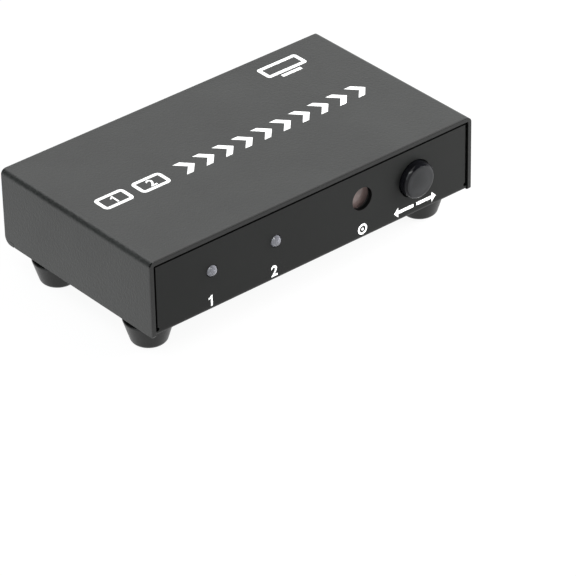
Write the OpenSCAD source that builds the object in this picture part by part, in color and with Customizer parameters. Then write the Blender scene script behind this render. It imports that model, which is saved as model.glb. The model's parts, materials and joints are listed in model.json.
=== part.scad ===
// Two-input video switch box: a folded steel case on four rubber feet, with a select
// button, two indicator lamps and an infrared window in front and its sockets behind.
// Millimetres. +X is right seen from the front, -Y is the front and +Z is up.
// The origin lies on the table, under the middle of the whole object.

/* [Case] */
// Outer width of the cover
case_w = 103; // [100:0.5:130]
// Depth from the cover's front edge to the back of the rear panel
case_d = 58.5; // [57:0.5:80]
// Height from the floor's underside to the top of the cover
case_h = 21.15; // [21:0.05:28]
// Thickness of the painted sheet
sheet_t = 1.1; // [0.8:0.05:1.3]
// Outer radius of the cover's top bends
cover_bend_r = 1.5; // [1.4:0.1:3]
// Outer radius of the bend under the front panel
front_bend_r = 1.4; // [1.35:0.05:2]
// Outer radius of the bend under the rear panel
rear_bend_r = 2.2; // [1.6:0.1:3]
// How far the cover overhangs the front panel
panel_recess = 0.3; // [0.1:0.1:1]
// Gap between the front panel's free edges and the cover
panel_gap = 0.7; // [0.3:0.1:1.2]
// Radius of the bend reliefs in the front panel's lower corners
relief_r = 0.8; // [0.5:0.1:1.2]
// Height of the cover's lower edges above the floor's underside
cover_lift = 0.1; // [0:0.05:0.5]
// Radius of the cover's lower front corners
cover_corner_r = 0.6; // [0.2:0.1:1.5]
// Gap between the floor's side flanges and the cover
flange_gap = 0.4; // [0.2:0.1:0.8]
// Height of the side flanges above the floor's underside
flange_h = 5.5; // [4:0.5:8]
// From the panels to the ends of the side flanges
flange_end_gap = 7; // [5:0.5:12]
// Depth of the full-width strip of floor at the rear panel
rear_wrap = 3.4; // [3.2:0.1:5]
// Gap between that strip and the cover's sides
wrap_gap = 0.15; // [0.1:0.05:0.3]

/* [Feet] */
// Height of the tapered part of a foot
foot_h = 7; // [6:0.1:9]
// Height of the neck between the taper and the floor
foot_neck_h = 1.85; // [1:0.05:3]
// Diameter of the taper at its top
foot_top_d = 13.1; // [11:0.1:14]
// Diameter of the taper at the table
foot_base_d = 9; // [8.6:0.1:10.5]
// Diameter of the neck
foot_neck_d = 9.6; // [8:0.1:10.5]
// Radius of the round edge at the table
foot_edge_r = 0.8; // [0.3:0.1:0.9]
// Depth of the screw recess in a foot
foot_recess_h = 3.6; // [3:0.1:5]
// From the cover's side to a foot's axis
foot_inset_x = 7.45; // [7:0.05:9]
// From the cover's front edge and from the rear panel to a foot's axis
foot_inset_y = 11.2; // [9:0.1:13]

/* [Fasteners] */
// Diameter of every screw
screw_d = 3; // [2.5:0.1:3]
// Diameter of a screw's head
head_d = 5.5; // [5:0.1:5.6]
// Height of a screw's head
head_h = 1.9; // [1.5:0.1:2.2]
// Width of a nut across its flats
nut_af = 5.5; // [5:0.1:5.5]
// Height of a nut
nut_h = 2.4; // [1.8:0.1:2.6]
// Outer diameter of a foot's washer
washer_d = 6; // [5.8:0.1:6.2]
// Thickness of a foot's washer
washer_t = 0.5; // [0.3:0.1:0.8]
// How far a screw runs out of its nut
screw_run_out = 0.5; // [0.2:0.1:1]
// Radial clearance of a plain screw hole
hole_gap = 0.2; // [0.1:0.05:0.3]
// Radial clearance of close fits, and of threads, which are drawn as plain bores
thread_gap = 0.03; // [0.02:0.01:0.06]
// Thickness of the brackets that hold the cover
bracket_t = 1; // [0.8:0.1:1.4]
// Length of a bracket's leg on the cover
bracket_leg = 9.5; // [9:0.1:10]
// Gap between a bracket's leg on the rear panel and the socket or inlet beside it
bracket_gap = 0.4; // [0.3:0.1:1]
// Height of a bracket
bracket_h = 8.5; // [7:0.5:10]
// Height of the cover's screws above the floor's underside
cover_screw_h = 13.4; // [12.8:0.1:15]
// From the cover's side to its screws
cover_screw_inset = 5.6; // [5.2:0.1:6]

/* [Board] */
// Length of the board's standoffs
standoff_h = 3.95; // [3.8:0.05:5]
// Width of a standoff across its flats
standoff_af = 5; // [4.5:0.1:5.5]
// Diameter of a standoff's shank in the floor
standoff_shank_d = 4; // [3.8:0.1:4.4]
// Thickness of the circuit board
board_t = 1.6; // [1.2:0.1:2]
// Gap from the board's ends to the side flanges
board_side_gap = 3; // [2:0.5:4]
// Gap from the front panel to the board
board_front_gap = 3; // [2.6:0.1:4]
// Gap from the rear panel to the board
board_rear_gap = 1; // [0.5:0.1:1.5]
// From the cover's sides to the front standoffs
standoff_front_inset = 27.5; // [27:0.1:28]
// From the board's front edge to the front standoffs
standoff_front_y = 4.5; // [4:0.1:6]
// From the board's ends to the rear standoffs
standoff_rear_inset = 5; // [4:0.1:6]
// From the board's rear edge to the rear standoffs
standoff_rear_y = 17; // [16.5:0.1:18]
// Length of a board screw's shank
board_screw_l = 5; // [4:0.5:5]
// How far leads and pins stand out below the board
lead_run_out = 1; // [0.5:0.1:1.5]
// Clearance round leads and pins in the board
lead_gap = 0.15; // [0.1:0.05:0.2]

/* [Front] */
// From the cover's left side to the first lamp
led_inset = 18.9; // [18:0.1:20]
// Distance between the two lamps
led_pitch = 20.05; // [19:0.05:22]
// Height of the lamps above the floor's underside
led_h = 11.2; // [11:0.05:13]
// Diameter of a lamp's lens
led_d = 3; // [2.8:0.1:3.2]
// Length of a lamp from its rim to its tip
led_l = 5.3; // [5:0.1:5.6]
// Diameter of a lamp's rim
led_rim_d = 3.8; // [3.6:0.1:4]
// Thickness of a lamp's rim
led_rim_t = 1; // [0.6:0.1:1.2]
// How far a lamp's tip stands out of the panel
led_out = 1; // [0.5:0.1:1.2]
// Radial gap between a lamp and its hole
led_gap = 0.15; // [0.1:0.05:0.3]
// From the cover's right side to the infrared window
ir_inset = 36.2; // [35:0.1:37]
// Height of the infrared window above the floor's underside
ir_h = 11.75; // [11:0.05:12.5]
// Diameter of the hole in front of the infrared window
ir_hole_d = 6.3; // [5:0.1:7]
// Diameter of the infrared window
ir_window_d = 10; // [9.5:0.1:11]
// Thickness of the infrared window
ir_window_t = 1; // [0.6:0.1:1.2]
// Thickness of the foam ring in front of the window
ir_ring_t = 0.7; // [0.4:0.1:1]
// Radial width by which the foam ring clears the hole
ir_ring_gap = 0.3; // [0.2:0.1:0.6]
// From the cover's right side to the select button
button_inset = 18.8; // [18:0.1:19.5]
// Height of the select button above the floor's underside
button_h = 10.6; // [10.4:0.05:11.2]
// Diameter of the button
button_d = 9.8; // [8:0.1:10.5]
// How far the button stands out of the panel
button_out = 2.7; // [1.8:0.1:4]
// Height of the dome on the button's face
button_dome_h = 0.3; // [0.1:0.05:0.6]
// Radius of the button's front edge
button_edge_r = 0.6; // [0.3:0.1:0.9]
// Radial gap between the button and its hole
button_gap = 0.3; // [0.25:0.05:0.5]
// Width of the rim that keeps the button behind the panel
button_rim_w = 1; // [0.7:0.1:1.4]
// Thickness of that rim
button_rim_t = 0.8; // [0.6:0.1:1]
// Gap between the panel and the rim at rest
button_rest_gap = 0.3; // [0.2:0.05:0.4]
// Travel of the button
button_travel = 0.5; // [0.3:0.1:0.6]

/* [Sockets] */
// From the cover's right side to the output socket
socket_inset = 18.5; // [18:0.1:20]
// Distance between neighbouring video sockets
socket_pitch = 23; // [20:0.5:23]
// Outer width of a video socket
socket_w = 15; // [14:0.1:15.5]
// Outer height of a video socket
socket_h = 5.55; // [5.2:0.05:6]
// Depth of a video socket
socket_d = 11.2; // [10:0.1:12]
// How far the video sockets stand out of the rear panel
socket_out = 0.6; // [0.2:0.1:1.2]
// Thickness of a socket's metal shell
shell_t = 0.4; // [0.3:0.05:0.5]
// Width of the slanted lower corners of a socket
socket_slant_w = 1.9; // [1.5:0.1:2.1]
// Height of the slanted lower corners of a socket
socket_slant_h = 2; // [1.5:0.1:2.4]
// Gap between a socket and its cut-out
socket_gap = 0.25; // [0.15:0.05:0.4]
// Depth of the solid rear part of a socket's insulator
insulator_d = 3.2; // [2.5:0.1:4]
// Width of a socket's tongue
tongue_w = 11.4; // [11:0.1:11.6]
// Thickness of a socket's tongue
tongue_t = 1.2; // [1:0.1:1.4]
// How far the tongue's tip stays behind the mouth
tongue_back = 1.6; // [1:0.1:2.5]
// From the cover's left side to the power inlet
jack_inset = 15.5; // [15.2:0.1:16.5]
// Width of the power inlet's housing
jack_w = 9; // [8.6:0.1:9]
// Height of the power inlet's housing
jack_h = 11; // [10.6:0.1:11]
// Depth of the power inlet's housing behind the panel
jack_d = 13.3; // [12:0.1:13.4]
// Height of the power inlet's axis above the board
jack_axis_h = 6.5; // [6.2:0.1:6.8]
// Outer diameter of the power inlet's nose
jack_nose_d = 8; // [7.8:0.1:8.4]
// Diameter of the power inlet's bore
jack_bore_d = 6.4; // [6.2:0.1:6.6]
// Depth of the power inlet's bore
jack_bore_l = 9.5; // [9:0.1:10]
// Diameter of the power inlet's pin
jack_pin_d = 2; // [1.9:0.05:2.5]
// Diameter of the pin's root in the housing
jack_root_d = 2.6; // [2.55:0.05:3]
// How far the pin's tip stays behind the mouth
jack_pin_back = 1; // [0.5:0.1:2]
// Gap between the inlet's nose and its hole
jack_gap = 0.2; // [0.1:0.05:0.4]

/* [Hidden] */
$fn = 64;
// A cut runs this far past the faces that it opens
over = 1;

// Heights
floor_z = foot_h + foot_neck_h;
floor_top = floor_z + sheet_t;
top_z = floor_z + case_h;
ceiling_z = top_z - sheet_t;
board_z = floor_top + standoff_h;
board_top = board_z + board_t;

// Depths
rear_out = max(head_h, socket_out);
front_out = button_out - panel_recess;
cover_y = -(case_d + rear_out - front_out) / 2;
rear_y = cover_y + case_d;
rear_in = rear_y - sheet_t;
panel_y = cover_y + panel_recess;
panel_in = panel_y + sheet_t;
board_y = panel_in + board_front_gap;
board_rear = rear_in - board_rear_gap;
board_d = board_rear - board_y;
board_mid = (board_y + board_rear) / 2;

// Half widths
half_w = case_w / 2;
side_in = half_w - sheet_t;
panel_half = side_in - panel_gap;
floor_half = side_in - flange_gap;
board_half = floor_half - sheet_t - board_side_gap;

// Places on the front panel
led_x = [for (i = [0, 1]) -half_w + led_inset + i * led_pitch];
led_z = floor_z + led_h;
ir_x = half_w - ir_inset;
ir_z = floor_z + ir_h;
button_x = half_w - button_inset;
button_z = floor_z + button_h;

// Places on the rear panel
socket_x = [for (i = [0:2]) half_w - socket_inset - i * socket_pitch];
socket_back = rear_y + socket_out - socket_d;
jack_x = -half_w + jack_inset;
jack_z = board_top + jack_axis_h;
cover_screw_x = half_w - cover_screw_inset;
cover_screw_z = floor_z + cover_screw_h;

// Places of the feet and standoffs
foot_x = half_w - foot_inset_x;
foot_y = [cover_y + foot_inset_y, rear_y - foot_inset_y];
standoff_front_x = half_w - standoff_front_inset;
standoff_rear_x = board_half - standoff_rear_inset;
standoffs_at = [
    for (s = [-1, 1]) [s * standoff_front_x, board_y + standoff_front_y],
    for (s = [-1, 1]) [s * standoff_rear_x, board_rear - standoff_rear_y]
];

// Select switch, from the front: button, plunger, frame, body
hub_d = 6;
hub_l = 2;
plunger_d = 3;
plunger_grip = 1.6;
plunger_gap = 0.3;
collar_d = 4.4;
collar_t = 0.7;
frame_t = 0.3;
frame_space = 2;
switch_w = 6.2;
switch_d = 3.5;
switch_well_d = collar_d + 2 * plunger_gap;
dome_d = 4.6;
dome_h = 0.4;
dome_t = 0.12;
press_room = 0.1;
cap_rear = panel_in + button_rest_gap + button_rim_t;
cap_l = cap_rear - panel_y + button_out;
hub_rear = cap_rear + hub_l;
frame_y = hub_rear + button_travel + frame_space;
switch_y = frame_y + frame_t;
collar_y = switch_y + press_room;
collar_rear = collar_y + collar_t;
dome_rear = collar_rear + button_travel + press_room + dome_h;
switch_rear = switch_y + switch_d;
terminal_w = 0.6;
terminal_pitch_x = 4.5;
terminal_inset = 1.2;
terminal_y = switch_rear - terminal_inset;
frame_leg_w = 1.2;

// Lamps and infrared receiver
lead_w = 0.5;
led_lead_pitch = 2.54;
led_lead_l = 2;
led_rear = panel_y - led_out + led_l;
led_bend_y = led_rear + led_lead_l;
holder_w = 4.6;
holder_d = 3.4;
holder_rise = 2;
holder_h = led_z + holder_rise - board_top;
holder_channel = lead_w + 2 * lead_gap;
ir_ring_y = panel_in;
ir_window_y = ir_ring_y + ir_ring_t;
ir_body_w = 7;
ir_body_d = 4;
ir_body_h = 7;
ir_lens_r = 2.4;
ir_lens_gap = 0.4;
ir_body_y = ir_window_y + ir_window_t + ir_lens_gap + ir_lens_r;
ir_lead_y = ir_body_y + ir_body_d / 2;

// Socket contacts
contact_w = 0.45;
contact_t = 0.12;
contact_pitch = 1;
contact_l = 5.2;
tail_l = 1.2;
tail_w = 0.3;
shell_leg_l = 1.6;
shell_leg_inset = 3;
shell_leg_pitch = 5;
shell_legs_y = [for (i = [0, 1]) socket_back + shell_leg_inset + i * shell_leg_pitch];
tongue_z = board_top + socket_h / 2 - tongue_t / 2;

// Power inlet contacts
jack_back = rear_in - jack_d;
jack_bore_end = rear_y - jack_bore_l;
terminal_t = 0.4;
jack_terminal_w = 2.4;
spring_w = 2;
spring_t = 0.3;
spring_rise = 0.3;
spring_back = 3;
spring_l = 5;
spring_y = [rear_y - spring_back - spring_l, rear_y - spring_back];
spring_gap = 0.15;

// Parts on the board, in front of the sockets and the inlet
ic_pitch = 0.8;
ic_lead_l = 1.1;
ic_stand_off = 0.1;
switch_ic_w = 12;
switch_ic_h = 1.4;
switch_ic_leads_n = 12;
switch_ic_shift = 6;
switch_ic_back = 4;
switch_ic_at = [socket_x[1] - switch_ic_shift, board_mid - switch_ic_back];
control_ic_w = 5.4;
control_ic_l = 10.4;
control_ic_pitch = 1.27;
control_ic_leads_n = 8;
control_ic_shift = 8.6;
control_ic_back = 8;
control_ic_at = [led_x[0] + control_ic_shift, board_mid - control_ic_back];
regulator_w = 6.5;
regulator_d = 3.5;
regulator_h = 1.6;
regulator_pitch = 2.3;
regulator_back = 2;
regulator_at = [jack_x, board_mid - regulator_back];
capacitor_d = 6.3;
capacitor_h = 7.2;
capacitor_groove = 0.35;
capacitor_shift = 9;
capacitor_pitch = 8;
capacitor_front = 8;
capacitors_at = [
    for (i = [0, 1]) [jack_x + capacitor_shift + i * capacitor_pitch, board_mid + capacitor_front]
];
crystal_l = 10.4;
crystal_w = 4.2;
crystal_h = 3.4;
crystal_back = 14;
crystal_at = [led_x[1], board_mid - crystal_back];
chip_l = 1.6;
chip_w = 0.8;
chip_h = 0.6;
chip_shift = 14;
chip_pitch = 4;
chip_row = 6;
chip_back = 1;
chip_front = 9;
chips_at = [
    for (i = [0:4], s = [-1, 1])
        [switch_ic_at[0] + chip_shift + i * chip_pitch, board_mid - chip_back + s * chip_row / 2],
    for (x = socket_x) [x, board_mid + chip_front]
];

// A flat outline in X and Z, drawn out along +Y from the plane y
module along_y(y, depth) {
    translate([0, y + depth, 0]) rotate([90, 0, 0]) linear_extrude(depth) children();
}

// A flat outline in Y and Z, drawn out along +X from the plane x
module along_x(x, width) {
    translate([x, 0, 0]) rotate([90, 0, 90]) linear_extrude(width) children();
}

// A round bar along +Y from the plane y
module rod_y(x, y, z, d, l) {
    translate([x, y + l, z]) rotate([90, 0, 0]) cylinder(d = d, h = l);
}

// A block centred on x and y that stands on z
module block(x, y, z, size) {
    translate([x - size[0] / 2, y - size[1] / 2, z]) cube(size);
}

// An outline as wide as w, from the height z up to the height top, with round upper corners
module arch(w, z, top, r) {
    translate([-w / 2, z]) square([w, top - r - z]);
    translate([-w / 2 + r, z]) square([w - 2 * r, top - z]);
    for (s = [-1, 1]) translate([s * (w / 2 - r), top - r]) circle(r);
}

// A quarter of a bent sheet's section, with its centre at the origin, open to +X and +Y
module bend_section(r) {
    difference() {
        intersection() {
            circle(r);
            translate([-r, -r]) square(r);
        }
        circle(r - sheet_t);
    }
}

// A cross-headed screw along +Z: its shank starts at the origin and its head lies below
module screw(l) {
    face_d = head_d * 0.86;
    slot_l = head_d * 0.6;
    slot_w = head_d * 0.14;
    slot_h = head_h * 0.5;
    cylinder(d = screw_d, h = l);
    difference() {
        translate([0, 0, -head_h]) cylinder(d1 = face_d, d2 = head_d, h = head_h);
        for (a = [0, 90]) {
            rotate(a) translate([-slot_l / 2, -slot_w / 2, -head_h - over])
                cube([slot_l, slot_w, slot_h + over]);
        }
    }
}

// A hexagonal nut along +Z, with a plain bore in place of its thread
module nut(af, h, bore_gap) {
    difference() {
        cylinder(d = af / cos(30), h = h, $fn = 6);
        translate([0, 0, -over]) cylinder(d = screw_d + 2 * bore_gap, h = h + 2 * over);
    }
}

// The outline of a video socket with slanted lower corners, above the height z
module socket_outline(x, z, w, h) {
    half = w / 2;
    translate([x, z]) polygon([
        [-half, h], [half, h], [half, socket_slant_h], [half - socket_slant_w, 0],
        [-half + socket_slant_w, 0], [-half, socket_slant_h]
    ]);
}

// The bent leads along one side of a chip, drawn out along +X from its side
module gull_leads(n, pitch, w) {
    rise = 0.6;
    thick = 0.2;
    heel = ic_lead_l * 0.4;
    for (i = [0:n - 1]) {
        translate([0, (i - (n - 1) / 2) * pitch + w / 2, board_top]) rotate([90, 0, 0])
            linear_extrude(w) polygon([
                [0, rise], [heel, rise], [heel + thick, thick], [ic_lead_l, thick],
                [ic_lead_l, 0], [heel, 0], [heel - thick, rise - thick], [0, rise - thick]
            ]);
    }
}

// A side's outline in Y and Z, from y to end, with round lower corners of the radii r and end_r
module side_outline(y, end, z, r, end_r) {
    translate([y + r, z]) square([end - y - r - end_r, top_z - z]);
    translate([y, z + r]) square([r, top_z - z - r]);
    translate([y + r, z + r]) circle(r);
    translate([end - end_r, z + end_r]) square([end_r, top_z - z - end_r]);
    translate([end - end_r, z + end_r]) circle(end_r);
}

// Cover: top and two sides of one bent sheet, whose sides step up over the floor's rear strip
module cover() {
    low_z = floor_z + cover_lift;
    step_z = floor_top + wrap_gap;
    step_y = rear_y - rear_wrap - wrap_gap;
    color("#3b3d3b") intersection() {
        along_y(cover_y, rear_in - cover_y) difference() {
            arch(case_w, low_z, top_z, cover_bend_r);
            arch(2 * side_in, low_z - over, ceiling_z, cover_bend_r - sheet_t);
        }
        along_x(-half_w - over, case_w + 2 * over) {
            side_outline(cover_y, step_y, low_z, cover_corner_r, cover_corner_r);
            side_outline(cover_y, rear_in, step_z, cover_corner_r, rear_bend_r - sheet_t);
        }
    }
}

// Chassis: front panel, floor and side flanges of one bent sheet
module chassis() {
    panel_low = floor_z + front_bend_r;
    floor_y = panel_y + front_bend_r;
    flange_r = front_bend_r;
    flat_half = floor_half - flange_r;
    flange_y = panel_in + flange_end_gap;
    flange_l = rear_in - flange_end_gap - flange_y;
    color("#2a2b2a") difference() {
        union() {
            // Front panel and the bend under it
            along_y(panel_y, sheet_t) translate([-panel_half, panel_low])
                square([2 * panel_half, ceiling_z - panel_gap - panel_low]);
            along_x(-panel_half, 2 * panel_half)
                translate([floor_y, panel_low]) bend_section(front_bend_r);
            // Floor between the side flanges, wider in front of them
            translate([-flat_half, floor_y, floor_z])
                cube([2 * flat_half, rear_y - rear_wrap - floor_y, sheet_t]);
            translate([-panel_half, floor_y, floor_z])
                cube([2 * panel_half, flange_y - relief_r - floor_y, sheet_t]);
            // Side flanges and the bends under them
            for (s = [0, 1]) mirror([s, 0, 0]) {
                along_y(flange_y, flange_l) translate([flat_half, floor_z + flange_r])
                    mirror([1, 0]) bend_section(flange_r);
                translate([floor_half - sheet_t, flange_y, floor_z + flange_r])
                    cube([sheet_t, flange_l, flange_h - flange_r]);
            }
        }
        // Bend reliefs in the front panel's lower corners
        for (s = [-1, 1])
            rod_y(s * panel_half, panel_y - over, panel_low + relief_r, 2 * relief_r, sheet_t + 2 * over);
        // Holes in the front panel
        for (x = led_x)
            rod_y(x, panel_y - over, led_z, led_d + 2 * led_gap, sheet_t + 2 * over);
        rod_y(ir_x, panel_y - over, ir_z, ir_hole_d, sheet_t + 2 * over);
        rod_y(button_x, panel_y - over, button_z, button_d + 2 * button_gap, sheet_t + 2 * over);
        // Holes in the floor for the feet and the standoffs
        for (s = [-1, 1], y = foot_y) translate([s * foot_x, y, floor_z - over])
            cylinder(d = screw_d + 2 * hole_gap, h = sheet_t + 2 * over);
        for (p = standoffs_at) translate([p[0], p[1], floor_z - over])
            cylinder(d = standoff_shank_d + 2 * thread_gap, h = sheet_t + 2 * over);
    }
}

// Rear panel, as large as the cover, with a bent foot that is welded to the floor's rear edge
module rear_panel() {
    bend_y = rear_y - rear_bend_r;
    color("#2a2b2a") difference() {
        union() {
            translate([-half_w, rear_y - rear_wrap, floor_z])
                cube([case_w, rear_wrap - rear_bend_r, sheet_t]);
            along_x(-half_w, case_w)
                translate([bend_y, floor_z + rear_bend_r]) mirror([1, 0]) bend_section(rear_bend_r);
            along_y(rear_in, sheet_t)
                arch(case_w, floor_z + rear_bend_r, top_z, cover_bend_r);
        }
        for (x = socket_x) along_y(rear_in - over, sheet_t + 2 * over)
            socket_outline(x, board_top - socket_gap, socket_w + 2 * socket_gap, socket_h + 2 * socket_gap);
        rod_y(jack_x, rear_in - over, jack_z, jack_nose_d + 2 * jack_gap, sheet_t + 2 * over);
        for (s = [-1, 1])
            rod_y(s * cover_screw_x, rear_in - over, cover_screw_z,
                screw_d + 2 * hole_gap, sheet_t + 2 * over);
    }
}

// Bracket welded into the cover's rear corner, beside the piece whose near edge lies at room from
// the cover's outside; side is -1 for left and 1 for right
module bracket(side, room) {
    low_z = cover_screw_z - bracket_h / 2;
    rear_leg = room - sheet_t - bracket_gap;
    color("#9a9c9e") difference() {
        mirror([side < 0 ? 1 : 0, 0, 0]) {
            translate([side_in - bracket_t, rear_in - bracket_leg, low_z])
                cube([bracket_t, bracket_leg, bracket_h]);
            translate([side_in - rear_leg, rear_in - bracket_t, low_z])
                cube([rear_leg, bracket_t, bracket_h]);
        }
        rod_y(side * cover_screw_x, rear_in - bracket_t - over, cover_screw_z,
            screw_d + 2 * hole_gap, bracket_t + 2 * over);
    }
}

// Two screws that hold the cover's brackets to the rear panel
module cover_screws() {
    l = sheet_t + bracket_t + nut_h + screw_run_out;
    color("#b8babc") for (s = [-1, 1])
        translate([s * cover_screw_x, rear_y, cover_screw_z]) rotate([90, 0, 0]) screw(l);
}

// Two nuts pressed onto the brackets
module cover_nuts() {
    color("#b8babc") for (s = [-1, 1])
        translate([s * cover_screw_x, rear_in - bracket_t, cover_screw_z]) rotate([90, 0, 0])
            nut(nut_af, nut_h, thread_gap);
}

// Rubber foot: a taper with a round lower edge, a recess for its screw and a neck
module foot(x, y) {
    base_r = foot_base_d / 2;
    steps = 6;
    recess_r = washer_d / 2 + thread_gap;
    hole_r = screw_d / 2 + hole_gap;
    edge = [
        for (i = [0:steps]) let (a = -90 + 90 * i / steps)
            [base_r - foot_edge_r + foot_edge_r * cos(a), foot_edge_r + foot_edge_r * sin(a)]
    ];
    color("#1c1c1c") translate([x, y, 0]) rotate_extrude() polygon(concat(
        [[hole_r, foot_recess_h], [recess_r, foot_recess_h], [recess_r, 0]],
        edge,
        [[foot_top_d / 2, foot_h], [foot_neck_d / 2, foot_h], [foot_neck_d / 2, floor_z], [hole_r, floor_z]]
    ));
}

// A copy of the children at each foot
module at_feet() {
    for (s = [-1, 1], y = foot_y) translate([s * foot_x, y, 0]) children();
}

// Washers that spread the load of the feet's screws
module foot_washers() {
    color("#b8babc") at_feet() translate([0, 0, foot_recess_h - washer_t]) difference() {
        cylinder(d = washer_d, h = washer_t);
        translate([0, 0, -over]) cylinder(d = screw_d + 2 * hole_gap, h = washer_t + 2 * over);
    }
}

// Screws that hold the feet to the floor
module foot_screws() {
    start = foot_recess_h - washer_t;
    color("#b8babc") at_feet() translate([0, 0, start])
        screw(floor_top + nut_h + screw_run_out - start);
}

// Nuts of the feet's screws, on the floor
module foot_nuts() {
    color("#b8babc") at_feet() translate([0, 0, floor_top]) nut(nut_af, nut_h, thread_gap);
}

// Hexagonal standoffs, each pressed into the floor by a round shank
module standoffs() {
    color("#c9b06a") for (p = standoffs_at) translate([p[0], p[1], 0]) difference() {
        union() {
            translate([0, 0, floor_top]) cylinder(d = standoff_af / cos(30), h = standoff_h, $fn = 6);
            translate([0, 0, floor_z]) cylinder(d = standoff_shank_d, h = sheet_t);
        }
        translate([0, 0, floor_z - over])
            cylinder(d = screw_d + 2 * thread_gap, h = sheet_t + standoff_h + 2 * over);
    }
}

// Screws that hold the board on the standoffs
module board_screws() {
    color("#b8babc") for (p = standoffs_at)
        translate([p[0], p[1], board_top]) mirror([0, 0, 1]) screw(board_screw_l);
}

// Circuit board with holes for its screws and for every lead that goes through it
module main_board() {
    cut_z = board_z - over;
    cut_h = board_t + 2 * over;
    slot = lead_w + 2 * lead_gap;
    color("#1f5a3a") difference() {
        translate([-board_half, board_y, board_z]) cube([2 * board_half, board_d, board_t]);
        for (p = standoffs_at) translate([p[0], p[1], cut_z])
            cylinder(d = screw_d + 2 * hole_gap, h = cut_h);
        for (x = led_x, s = [-1, 1])
            block(x + s * led_lead_pitch / 2, led_bend_y, cut_z, [slot, slot, cut_h]);
        for (i = [-1:1])
            block(ir_x + i * led_lead_pitch, ir_lead_y, cut_z, [slot, slot, cut_h]);
        for (s = [-1, 1]) {
            block(button_x + s * terminal_pitch_x / 2, terminal_y, cut_z,
                [terminal_w + 2 * lead_gap, slot, cut_h]);
            block(button_x + s * (switch_w + frame_t) / 2, switch_y + switch_d / 2, cut_z,
                [frame_t + 2 * lead_gap, frame_leg_w + 2 * lead_gap, cut_h]);
        }
        for (x = socket_x, s = [-1, 1], y = shell_legs_y)
            block(x + s * (socket_w - shell_t) / 2, y, cut_z,
                [shell_t + 2 * lead_gap, shell_leg_l + 2 * lead_gap, cut_h]);
        block(jack_x, jack_back - terminal_t / 2, cut_z,
            [jack_terminal_w + 2 * lead_gap, terminal_t + 2 * lead_gap, cut_h]);
        block(jack_x, spring_y[0] + terminal_t / 2, cut_z,
            [spring_w + 2 * lead_gap, terminal_t + 2 * lead_gap, cut_h]);
    }
}

// Metal shell of a video socket, with four legs through the board
module socket_shell(x) {
    color("#b9bcc0") {
        along_y(socket_back, socket_d) difference() {
            socket_outline(x, board_top, socket_w, socket_h);
            socket_outline(x, board_top + shell_t, socket_w - 2 * shell_t, socket_h - 2 * shell_t);
        }
        for (s = [-1, 1], y = shell_legs_y)
            block(x + s * (socket_w - shell_t) / 2, y, board_z - lead_run_out,
                [shell_t, shell_leg_l, board_t + lead_run_out + socket_slant_h + shell_t]);
    }
}

// Insulator of a video socket: a block at the rear and the tongue that the plug goes over
module socket_insulator(x) {
    color("#161616") {
        along_y(socket_back, insulator_d)
            socket_outline(x, board_top + shell_t, socket_w - 2 * shell_t, socket_h - 2 * shell_t);
        translate([x - tongue_w / 2, socket_back + insulator_d, tongue_z])
            cube([tongue_w, socket_d - insulator_d - tongue_back, tongue_t]);
    }
}

// Contacts on both faces of a tongue, and their tails on the board behind the shell
module socket_contacts(x) {
    rows = [[10, tongue_z + tongue_t], [9, tongue_z - contact_t]];
    tails_n = rows[0][0] + rows[1][0];
    color("#d8b45a") {
        for (row = rows, i = [0:row[0] - 1])
            translate([x + (i - (row[0] - 1) / 2) * contact_pitch - contact_w / 2,
                    socket_back + insulator_d, row[1]])
                cube([contact_w, contact_l, contact_t]);
        for (i = [0:tails_n - 1])
            translate([x + (i - (tails_n - 1) / 2) * contact_pitch / 2 - tail_w / 2,
                    socket_back - tail_l - hole_gap, board_top])
                cube([tail_w, tail_l, contact_t]);
    }
}

// Housing of the power inlet: a block behind the panel and a round nose through it
module power_jack_housing() {
    color("#141414") difference() {
        union() {
            block(jack_x, jack_back + jack_d / 2, board_top, [jack_w, jack_d, jack_h]);
            rod_y(jack_x, rear_in, jack_z, jack_nose_d, sheet_t);
        }
        rod_y(jack_x, jack_bore_end, jack_z, jack_bore_d, jack_bore_l + over);
        rod_y(jack_x, jack_back - over, jack_z, jack_root_d + 2 * thread_gap,
            jack_bore_end - jack_back + 2 * over);
        translate([jack_x - spring_w / 2 - spring_gap, spring_y[0] - spring_gap, board_top - over])
            cube([spring_w + 2 * spring_gap, spring_y[1] - spring_y[0] + 2 * spring_gap,
                over + jack_axis_h - jack_bore_d / 2 + spring_rise]);
    }
}

// Centre pin of the power inlet, riveted to a terminal on the housing's back
module power_jack_pin() {
    tip = jack_pin_d * 0.25;
    tip_d = jack_pin_d * 0.6;
    pin_end = rear_y - jack_pin_back;
    terminal_z = board_z - lead_run_out;
    color("#c8cacc") {
        rod_y(jack_x, jack_back - terminal_t, jack_z, jack_root_d, jack_bore_end - jack_back + terminal_t);
        rod_y(jack_x, jack_back, jack_z, jack_pin_d, pin_end - tip - jack_back);
        translate([jack_x, pin_end - tip, jack_z]) rotate([-90, 0, 0])
            cylinder(d1 = jack_pin_d, d2 = tip_d, h = tip);
        translate([jack_x - jack_terminal_w / 2, jack_back - terminal_t, terminal_z])
            cube([jack_terminal_w, terminal_t, jack_z + jack_pin_d - terminal_z]);
    }
}

// Spring contact in the floor of the power inlet's bore
module power_jack_spring() {
    leaf_z = jack_z - jack_bore_d / 2 + spring_rise - spring_t;
    leg_z = board_z - lead_run_out;
    color("#c8cacc") translate([jack_x - spring_w / 2, spring_y[0], 0]) {
        translate([0, 0, leaf_z]) cube([spring_w, spring_y[1] - spring_y[0], spring_t]);
        translate([0, 0, leg_z]) cube([spring_w, terminal_t, leaf_z + spring_t - leg_z]);
    }
}

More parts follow.
